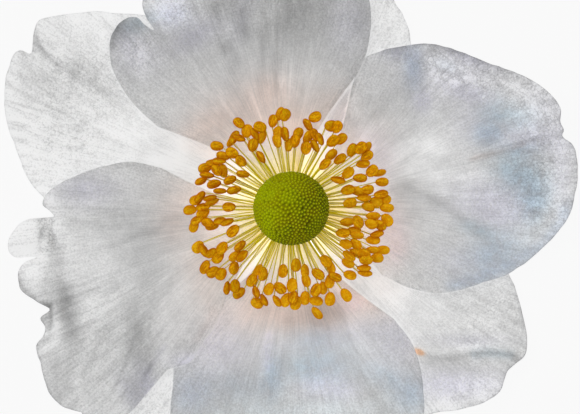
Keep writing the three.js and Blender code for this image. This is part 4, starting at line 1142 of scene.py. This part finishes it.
SEED = 41
ANTHER_LENGTH, ANTHER_WIDTH, ANTHER_DEPTH = 1.76, 1.46, 0.68
HIDDEN_SIZE, HIDDEN_SEEN = 0.85, 4.4  # of the anthers under the seen ones: their size and half-width px
CROWD_REACH, CROWDED = 18, 10  # none is put below an anther with so many others within so many px
HEIGHT_BY_RADIUS = ([6.0, 7.2, 9.3, 11.3, 13.0, 14.0], [8.3, 8.0, 7.4, 6.3, 5.2, 4.8])  # of anthers' middles
ANTHER_STOREY = 0.45  # an anther in front of its neighbours is this much higher
ANTHER_ROOM = (1.1, 0.62)  # anthers nearer than this in plan are kept this far apart in height
LIFTING, LIFT_SHARE = 12, 0.25  # times they push each other up or down, and by what share
ANTHER_PITCH = 34  # degrees, at the most about half up or down
ROOT_RADIUS, ROOT_HEIGHTS, ROOT_SPAN = 2.55, (3.75, 4.3), (13, 6)  # heights at these radii of the anthers
ROOT_EVENNESS = 0.8  # how far the filaments' feet are spread evenly, rather than straight below their anthers
FILAMENT_SAG, FILAMENT_BEND, FILAMENT_WAVE = 0.36, 0.3, 0.16
FILAMENT_RADII = {"seen": (0.074, 0.056), "hidden": (0.118, 0.088)}  # at the foot and at the anther
FILAMENT_SIDES, FILAMENT_STEPS = 7, 16
ANTHER_SIDES, ANTHER_STEPS = 18, 14
GROOVE_WIDTH, GROOVE_DEPTH = 0.26, 0.16

# The anthers of the photograph, read off one by one, round from the left: x px, y px, turn in degrees
# anticlockwise from the right, half-width as seen px, storey (1 in front of its neighbours, -1 behind them and
# lighter).
ANTHERS = [
    (190, 210, 0, 5.0, -1), (203, 213, 40, 5.4, -1), (203, 207, 10, 4.0, 0), (196, 200, 20, 5.0, 0),
    (200, 197, 50, 4.0, 1), (210, 198, 15, 3.0, 1), (212, 202, 25, 3.5, -1), (229, 207, 5, 4.8, 0),
    (220, 191, 0, 3.0, 1), (234, 190, 12, 4.0, 0), (214, 184, 8, 4.5, 0), (201, 181, 25, 3.3, 0),
    (207, 175, -8, 3.2, 1), (230, 180, 20, 4.2, 1), (243, 174, -5, 3.6, 0), (205, 168, 15, 5.0, 0),
    (217, 170, -60, 5.0, 1), (223, 171, -70, 4.8, -1), (219, 161, 0, 3.5, 0), (213, 163, 0, 3.4, -1),
    (223, 156, -10, 4.5, -1), (232, 153, -20, 5.5, 1), (241, 161, -35, 4.8, 0), (217, 146, -10, 4.8, 0),
    (232, 141, 50, 3.6, -1), (234, 137, 60, 4.2, 0), (239, 138, -20, 3.2, 1), (239, 123, -50, 4.8, 0),
    (247, 131, 80, 5.8, -1), (255, 134, -60, 4.0, 0), (260, 127, -15, 5.5, 1), (262, 137, 70, 4.0, -1),
    (253, 145, 80, 5.3, 0), (261, 157, -60, 3.2, 0), (273, 121, 80, 4.8, 0), (280, 114, 60, 4.6, -1),
    (285, 115, 60, 5.6, 1), (278, 133, 90, 5.0, -1), (277, 141, -80, 4.5, -1), (285, 134, -80, 4.2, 1),
    (289, 145, 80, 4.2, -1), (298, 134, 75, 5.0, 0), (295, 141, 80, 5.0, 1), (306, 148, 80, 5.4, 0),
    (308, 137, 60, 4.5, -1), (308, 125, -60, 3.5, 0), (315, 117, 15, 5.5, 0), (315, 135, -65, 4.2, 0),
    (320, 139, -70, 3.6, 0), (315, 146, -60, 3.2, -1), (331, 126, 0, 5.8, 0), (337, 127, 60, 5.3, 1),
    (341, 139, 45, 5.0, 0), (333, 141, 40, 5.4, 1), (331, 155, 45, 4.5, -1), (325, 164, 50, 4.5, 0),
    (340, 159, 30, 4.5, 0), (352, 150, 60, 5.0, 0), (361, 148, 50, 5.6, 1), (367, 148, 60, 3.6, -1),
    (367, 156, 30, 4.8, 0), (363, 164, 0, 4.2, 0), (348, 173, 35, 5.0, -1), (338, 180, -15, 3.5, 1),
    (360, 178, 0, 4.4, 0), (372, 171, 35, 5.6, 0), (379, 173, 10, 3.5, -1), (382, 182, 0, 4.5, 0),
    (348, 190, 20, 5.0, 0), (357, 191, -20, 4.5, -1), (367, 190, 10, 5.0, 0), (364, 198, 0, 3.2, 0),
    (350, 203, 5, 5.0, 0), (381, 194, 15, 4.0, 1), (384, 200, 20, 5.0, -1), (376, 202, -5, 5.6, 0),
    (387, 208, 0, 4.5, 0), (368, 207, -10, 4.5, -1), (373, 216, -5, 4.2, -1), (387, 220, -50, 5.6, 0),
    (371, 224, -30, 5.0, 0), (380, 225, -45, 4.8, 1), (347, 222, 0, 4.2, 0), (358, 222, -60, 5.5, 1),
    (354, 230, 0, 3.2, -1), (343, 233, -5, 4.7, 1), (357, 235, -10, 4.0, 0), (377, 234, 10, 3.2, 1),
    (373, 240, 0, 4.5, 0), (346, 244, -20, 4.8, 0), (356, 244, -45, 4.5, -1), (356, 253, -25, 3.6, -1),
    (373, 250, 0, 3.8, -1), (383, 250, -5, 4.6, 0), (349, 256, -40, 4.5, 1), (348, 263, -30, 4.5, -1),
    (364, 254, -40, 5.2, 0), (366, 260, 0, 5.0, 1), (377, 258, 5, 5.0, -1), (364, 268, 0, 3.1, 0),
    (365, 273, -5, 3.1, 0), (350, 275, -10, 4.7, 0), (326, 261, -55, 5.2, 0), (331, 267, -70, 4.0, -1),
    (335, 277, -20, 4.5, 1), (330, 281, 80, 5.0, -1), (346, 295, -50, 5.2, 0), (318, 274, -30, 5.0, 1),
    (323, 288, -80, 4.3, 0), (330, 299, 90, 5.5, 0), (316, 290, 65, 5.2, 1), (316, 301, -5, 4.7, 0),
    (317, 313, -55, 4.3, 0), (305, 271, 90, 4.3, -1), (306, 280, -70, 4.5, 0), (305, 298, 85, 5.2, -1),
    (296, 265, 90, 4.9, 0), (292, 285, 90, 5.5, 0), (293, 297, 80, 4.8, 1), (296, 303, 70, 5.4, 0),
    (286, 300, 60, 5.4, -1), (283, 271, 90, 4.8, 0), (280, 288, -50, 5.3, 1), (277, 301, -55, 3.1, 0),
    (269, 289, 70, 5.0, -1), (263, 274, 85, 4.8, 0), (258, 270, 60, 3.8, -1), (252, 280, 60, 5.0, 0),
    (256, 292, -75, 3.2, 1), (257, 303, -20, 5.4, 0), (264, 300, -65, 3.1, 1), (239, 293, 30, 5.0, 0),
    (235, 286, 80, 5.3, 0), (227, 288, 85, 3.3, 0), (234, 268, 65, 5.0, 0), (242, 256, 40, 4.3, 1),
    (235, 256, 35, 4.5, -1), (240, 246, 45, 4.0, 1), (221, 274, 60, 5.6, 1), (213, 272, 30, 5.4, 0),
    (205, 267, 60, 4.8, 0), (218, 257, 55, 5.4, 0), (222, 248, 50, 5.3, 1), (211, 253, 45, 4.2, 0),
    (204, 251, -60, 4.0, 0), (198, 247, 50, 5.6, -1), (233, 231, 45, 5.2, 0), (227, 222, 15, 3.6, 0),
    (220, 221, 10, 3.8, 0), (212, 226, 10, 4.2, -1), (208, 223, -30, 4.8, 1), (194, 226, 70, 4.8, -1),
    (197, 220, 30, 4.2, 0),
]


def tilt_for(seen, long, short):
    """How far a form with a long and a short half-width is rolled, in radians, where it is seen so wide."""
    share = (seen**2 - short**2) / (long**2 - short**2)
    return math.acos(math.sqrt(min(max(share, 0.0), 1.0)))


def frame_along(path):
    """For each point of a path: the way ahead, across and above, all one long."""
    ahead = np.gradient(path, axis=0)
    ahead /= np.linalg.norm(ahead, axis=1, keepdims=True)
    across = np.cross([0, 0, 1], ahead)
    across /= np.maximum(np.linalg.norm(across, axis=1, keepdims=True), 1e-9)
    return ahead, across, np.cross(ahead, across)


class Store:
    """Many small forms that become one piece."""

    def __init__(self, *marks):
        self.points, self.faces, self.marks, self.count = [], [], {mark: [] for mark in marks}, 0

    def add(self, points, faces, **marks):
        self.points.append(points)
        self.faces.extend([[v + self.count for v in face] for face in faces])
        self.count += len(points)
        for key, values in marks.items():
            self.marks[key].append(np.broadcast_to(values, len(points)))

    def piece(self, name, material):
        marks = {key: np.concatenate(values) for key, values in self.marks.items()}
        return add_piece(name, np.vstack(self.points), self.faces, material, "stamens", marks)


def evenly_round(bearings):
    """The bearings of the filaments' feet, for those of their anthers."""
    even = np.empty(len(bearings))
    even[np.argsort(bearings)] = np.linspace(-math.pi, math.pi, len(bearings), endpoint=False)
    swerve = np.angle(np.exp(1j * (even - bearings)))
    return bearings + ROOT_EVENNESS * (swerve - swerve.mean())


def spread_in_height(places, heights):
    """Anthers that lie over each other in plan are pushed apart."""
    gap, room = ANTHER_ROOM
    for _ in range(LIFTING):
        for i, place in enumerate(places):
            near = np.hypot(*(places - place).T) < gap
            near[i] = False
            rise = heights[i] - heights
            lacking = np.where(near, np.maximum(room - np.abs(rise), 0), 0)
            heights[i] += LIFT_SHARE * (lacking * np.where(rise < 0, -1, 1)).sum()
    return heights


def anther_frame(random, place, turn, seen, size):
    """The ways out along an anther, across it and up from it, for its turn and half-width as seen."""
    facing = math.radians(turn)
    out = np.array([math.cos(facing), math.sin(facing), 0])
    if out[:2] @ place < 0:
        out = -out
    pitch = math.radians(ANTHER_PITCH * (random.random() - 0.42))
    roll = tilt_for(size * seen * PX, size * ANTHER_WIDTH / 2, size * ANTHER_DEPTH / 2)
    roll *= 1 if random.random() < 0.5 else -1
    out = out * math.cos(pitch) + np.array([0, 0, math.sin(pitch)])
    side = np.cross([0, 0, 1], out)
    side /= np.linalg.norm(side)
    up = np.cross(out, side)
    turned = side * math.cos(roll) + up * math.sin(roll), up * math.cos(roll) - side * math.sin(roll)
    return out, *turned


def filament(random, place, away, end, radii):
    """A filament from its foot to the anther, and how far along it each point is."""
    away += math.radians(2) * (random.random() - 0.5)
    outwards = np.array([math.cos(away), math.sin(away)])
    sideways = np.array([-outwards[1], outwards[0]])
    low, high = ROOT_HEIGHTS
    root = np.append(ROOT_RADIUS * outwards, low + (high - low) * share_of(np.hypot(*place), *ROOT_SPAN))
    middle = root + (end - root) * 0.55
    middle[:2] += FILAMENT_BEND * (random.random() - 0.5) * sideways
    middle[2] = root[2] + (end[2] - root[2]) * FILAMENT_SAG
    step = np.linspace(0, 1, FILAMENT_STEPS)[:, None]
    path = (1 - step) ** 2 * root + 2 * step * (1 - step) * middle + step**2 * end
    path[:, :2] += FILAMENT_WAVE * (random.random() - 0.5) * np.sin(2 * math.pi * step) * sideways
    _, across, above = frame_along(path)
    turn = np.linspace(0, 2 * np.pi, FILAMENT_SIDES, endpoint=False)[None, :, None]
    foot, top = radii
    thick = (foot + (top - foot) * step)[..., None]
    rings = path[:, None] + thick * (across[:, None] * np.cos(turn) + above[:, None] * np.sin(turn))
    return *closed_tube(rings), np.append(np.repeat(step[:, 0], FILAMENT_SIDES), [0, 1])


def anther(centre, frame, length, wide, deep):
    """An egg-shaped anther with a groove along either face, and what its material reads."""
    out, side, up = frame
    ahead = np.cos(np.linspace(math.pi * 0.985, math.pi * 0.015, ANTHER_STEPS))[:, None]
    turn = np.linspace(0, 2 * np.pi, ANTHER_SIDES, endpoint=False)[None]
    full = (1 - np.abs(ahead) ** 2.3) ** 0.5 * (1 + 0.10 * ahead)
    groove = np.exp(-((np.cos(turn) / GROOVE_WIDTH) ** 2))
    lobe = full * (1 - GROOVE_DEPTH * groove)
    rings = centre + out * length * ahead[..., None] + side * (wide * np.cos(turn) * lobe)[..., None]
    rings = rings + up * (deep * np.sin(turn) * lobe)[..., None]
    axes = ((out / np.linalg.norm(out), length), (side, wide), (up, deep))
    normal = sum(np.outer((rings.reshape(-1, 3) - centre) @ way / half**2, way) for way, half in axes)
    marks = {  # with those of the two end points
        "groove": np.append(groove + 0 * ahead, [0, 0]),
        "rim": np.append(np.maximum(np.abs(np.cos(turn)), np.abs(ahead) ** 2), [1, 1]),
        "flat": np.append(np.abs(normal[:, 2]) / np.linalg.norm(normal, axis=1), [0, 0]),
        "over": np.append(np.cos(turn) + 0 * ahead, [0, 0]),
        "down": np.append(ahead + 0 * turn, [-1, 1]),
    }
    return *closed_tube(rings), marks


def build_stamens(filament_material, anther_material):
    random = np.random.default_rng(SEED)
    filaments = Store("own", "along")
    anthers = Store("own", "groove", "rim", "lit", "flat", "over", "down")
    crowd = [sum(math.hypot(x - a[0], y - a[1]) < CROWD_REACH for a in ANTHERS) for x, y, *_ in ANTHERS]
    hidden = [
        (x, y, turn, HIDDEN_SEEN, -2)
        for (x, y, turn, _, _), near in zip(ANTHERS, crowd)
        if (x + y) % 3 and near < CROWDED
    ]
    stamens = ANTHERS + hidden
    count = len(stamens)
    places, storeys = plan([a[:2] for a in stamens]), np.array([a[4] for a in stamens])
    bearings = np.arctan2(places[:, 1], places[:, 0]) + 0.02 * (random.random(count) - 0.5)
    heights = np.interp(np.hypot(*places.T), *HEIGHT_BY_RADIUS) + ANTHER_STOREY * storeys
    heights = spread_in_height(places, heights + 0.2 * (random.random(count) - 0.5))

    feet = evenly_round(bearings)
    for place, height, away, (_, _, turn, seen, storey) in zip(places, heights, feet, stamens):
        pale = storey < -1
        size = HIDDEN_SIZE if pale else 1
        centre = np.append(place + (plan(MIDDLE_PX) - place) * (height - MIDDLE_Z) / EYE_HEIGHT, height)
        length = size * ANTHER_LENGTH * (0.92 + 0.14 * random.random()) / 2
        ways = anther_frame(random, place, turn, seen, size)
        end = centre - ways[0] * length * 0.8
        radii = FILAMENT_RADII["hidden" if pale else "seen"]
        points, faces, along = filament(random, place, away, end, radii)
        filaments.add(points, faces, own=(pale + 0.4 * random.random()) / 1.4, along=along)
        points, faces, marks = anther(centre, ways, length, size * ANTHER_WIDTH / 2, size * ANTHER_DEPTH / 2)
        # Painted light: anthers behind their neighbours are made lighter as if lit from below, and those on the
        # side away from the lamp are made lighter against the shadow of the ball.
        lee = smooth((place[0] - place[1]) / 1.41, 2, 8)  # 1 on the side away from the light
        own = random.random()
        lit = (1 - storey) / 2 + 0.3 * (random.random() - 0.5) + 0.6 * lee
        anthers.add(points, faces, own=own, lit=lit, **marks)

    filaments.piece("stamen_filaments", filament_material)
    anthers.piece("stamen_anthers", anther_material)


s = Shader("filament_tissue")
fine, own = s.noise(s.place(), 4000.0, 2.0, 0.5), s.mark("own")
thread = s.mix(s.span(s.mark("along"), 0.1, 0.7), paint(251, 247, 140), paint(244, 240, 62))
thread = s.layer(thread, own, 0.0, 0.3, 0.6, 236, 232, 50)
# painted light: the filaments of the hidden anthers, lower down, are paler cream, as light from below shows
# through them
thread = s.layer(thread, own, 0.5, 0.72, 1.0, 254, 251, 228)
thread = s.layer(thread, fine, 0.4, 0.7, 0.2, 248, 232, 100)
front = s.grained(thread, fine, (0.4, 0.55), 0.01, 0.4, 0.2)
filament_tissue = s.translucent(0.92, front, s.node("BsdfTranslucent", {"Color": thread}))

s = Shader("anther_pollen")
pollen = s.noise(s.place(), 7000.0, 3.0, 0.6)
streaks = s.noise(s.place(), 1700.0, 2.0, 0.6)
blots = s.noise(s.place(), 3200.0, 3.0, 0.65)
own, lit = s.mark("own"), s.mark("lit")
way = s.vector(s.times(s.mark("over"), 3.6), s.times(s.mark("down"), 1.3), s.times(own, 40.0))
stripes = s.noise(way, 1.0, 2.0, 0.6, 0.5)
# Painted light: the lit mark makes an anther lighter and more yellow.
gold = s.mix(s.span(lit, 0.0, 1.0), paint(250, 200, 0), paint(255, 222, 30))
for value, low, high, share, shade in (
    (own, 0.4, 0.0, 0.8, (190, 168, 6)),
    (own, 0.6, 1.0, 0.5, (250, 166, 0)),
    (streaks, 0.4, 0.65, 0.6, (255, 220, 30)),
    (blots, 0.47, 0.56, 0.65, (176, 160, 0)),
    (pollen, 0.47, 0.56, 0.55, (255, 150, 0)),
    (stripes, 0.5, 0.57, 0.85, (184, 104, 0)),
    (s.mark("groove"), 0.45, 1.0, 0.35, (190, 120, 0)),
    # painted shade: the anthers' rims and steep sides are darker orange, an outline as seen from above
    (s.mark("rim"), 0.82, 0.99, 0.5, (196, 92, 0)),
    (s.mark("flat"), 0.8, 0.3, 0.75, (186, 80, 0)),
):
    gold = s.layer(gold, value, low, high, share, *shade)
bright = s.mix(s.span(blots, 0.42, 0.58), paint(255, 214, 30), paint(244, 172, 0))
gold = s.mix(s.span(lit, 0.5, 1.4, 0.0, 0.65), gold, bright)
front = s.grained(gold, pollen, (0.6, 0.8), 0.02, 0.6, 0.04)
glow = s.mix(s.span(blots, 0.3, 0.7), paint(255, 224, 60), paint(252, 208, 30))
anther_pollen = s.translucent(0.4, front, s.node("BsdfTranslucent", {"Color": glow}))
build_stamens(filament_tissue, anther_pollen)

# ---------------------------------------------------------------- floor, light and camera

FLOOR_Z = -0.03
# The floor is lit from below, more so under the middle of the flower.
FLOOR_GLOW, CENTRE_GLOW, GLOW_RADIUS = 0.953, 1.15, 13
bpy.ops.mesh.primitive_plane_add(size=6, location=(0, 0, FLOOR_Z * MM))
floor = bpy.context.object
floor.name = "pale_floor"
s = Shader("pale_floor")
pale = s.node("BsdfDiffuse", {"Color": (0.9, 0.9, 0.9, 1.0)})
from_axis = s.node("VectorMath", {0: s.place()}, "Value", operation="LENGTH")
glow = s.span(from_axis, GLOW_RADIUS * MM, 0.0, FLOOR_GLOW, FLOOR_GLOW + CENTRE_GLOW)
shine = s.node("Emission", {"Color": (1.0, 1.0, 1.0, 1.0), "Strength": glow})
floor.data.materials.append(s.translucent(0.97, pale, shine))

world = bpy.data.worlds.new("soft_room")
world.use_nodes = True
sky = world.node_tree.nodes["Background"]
sky.inputs["Color"].default_value = (0.97, 0.985, 1.0, 1.0)
sky.inputs["Strength"].default_value = 0.50
bpy.context.scene.world = world


def softbox(name, place, size, power, colour):
    """A round lamp that faces the flower. Place and size are in metres."""
    light = bpy.data.lights.new(name, "AREA")
    light.shape, light.size, light.energy, light.color = "DISK", size, power, colour
    lamp = bpy.data.objects.new(name, light)
    bpy.context.scene.collection.objects.link(lamp)
    lamp.location = place
    lamp.rotation_euler = (-lamp.location).to_track_quat("-Z", "Y").to_euler()


softbox("key", (-0.17, 0.12, 0.61), 0.56, 2.22, (1.0, 0.99, 0.97))
softbox("fill", (0.5, -0.3, 0.6), 0.6, 0.3, (0.97, 0.985, 1.0))

camera = bpy.data.cameras.new("camera")
camera.lens, camera.sensor_width = LENS, SENSOR
camera.clip_start, camera.clip_end = 0.01, 20
eye = bpy.data.objects.new("camera", camera)
bpy.context.scene.collection.objects.link(eye)
middle_x, middle_y = plan(MIDDLE_PX)
eye.location = (middle_x * MM, middle_y * MM, (MIDDLE_Z + EYE_HEIGHT) * MM)
bpy.context.scene.camera = eye

bpy.context.scene.view_settings.view_transform = "Standard"
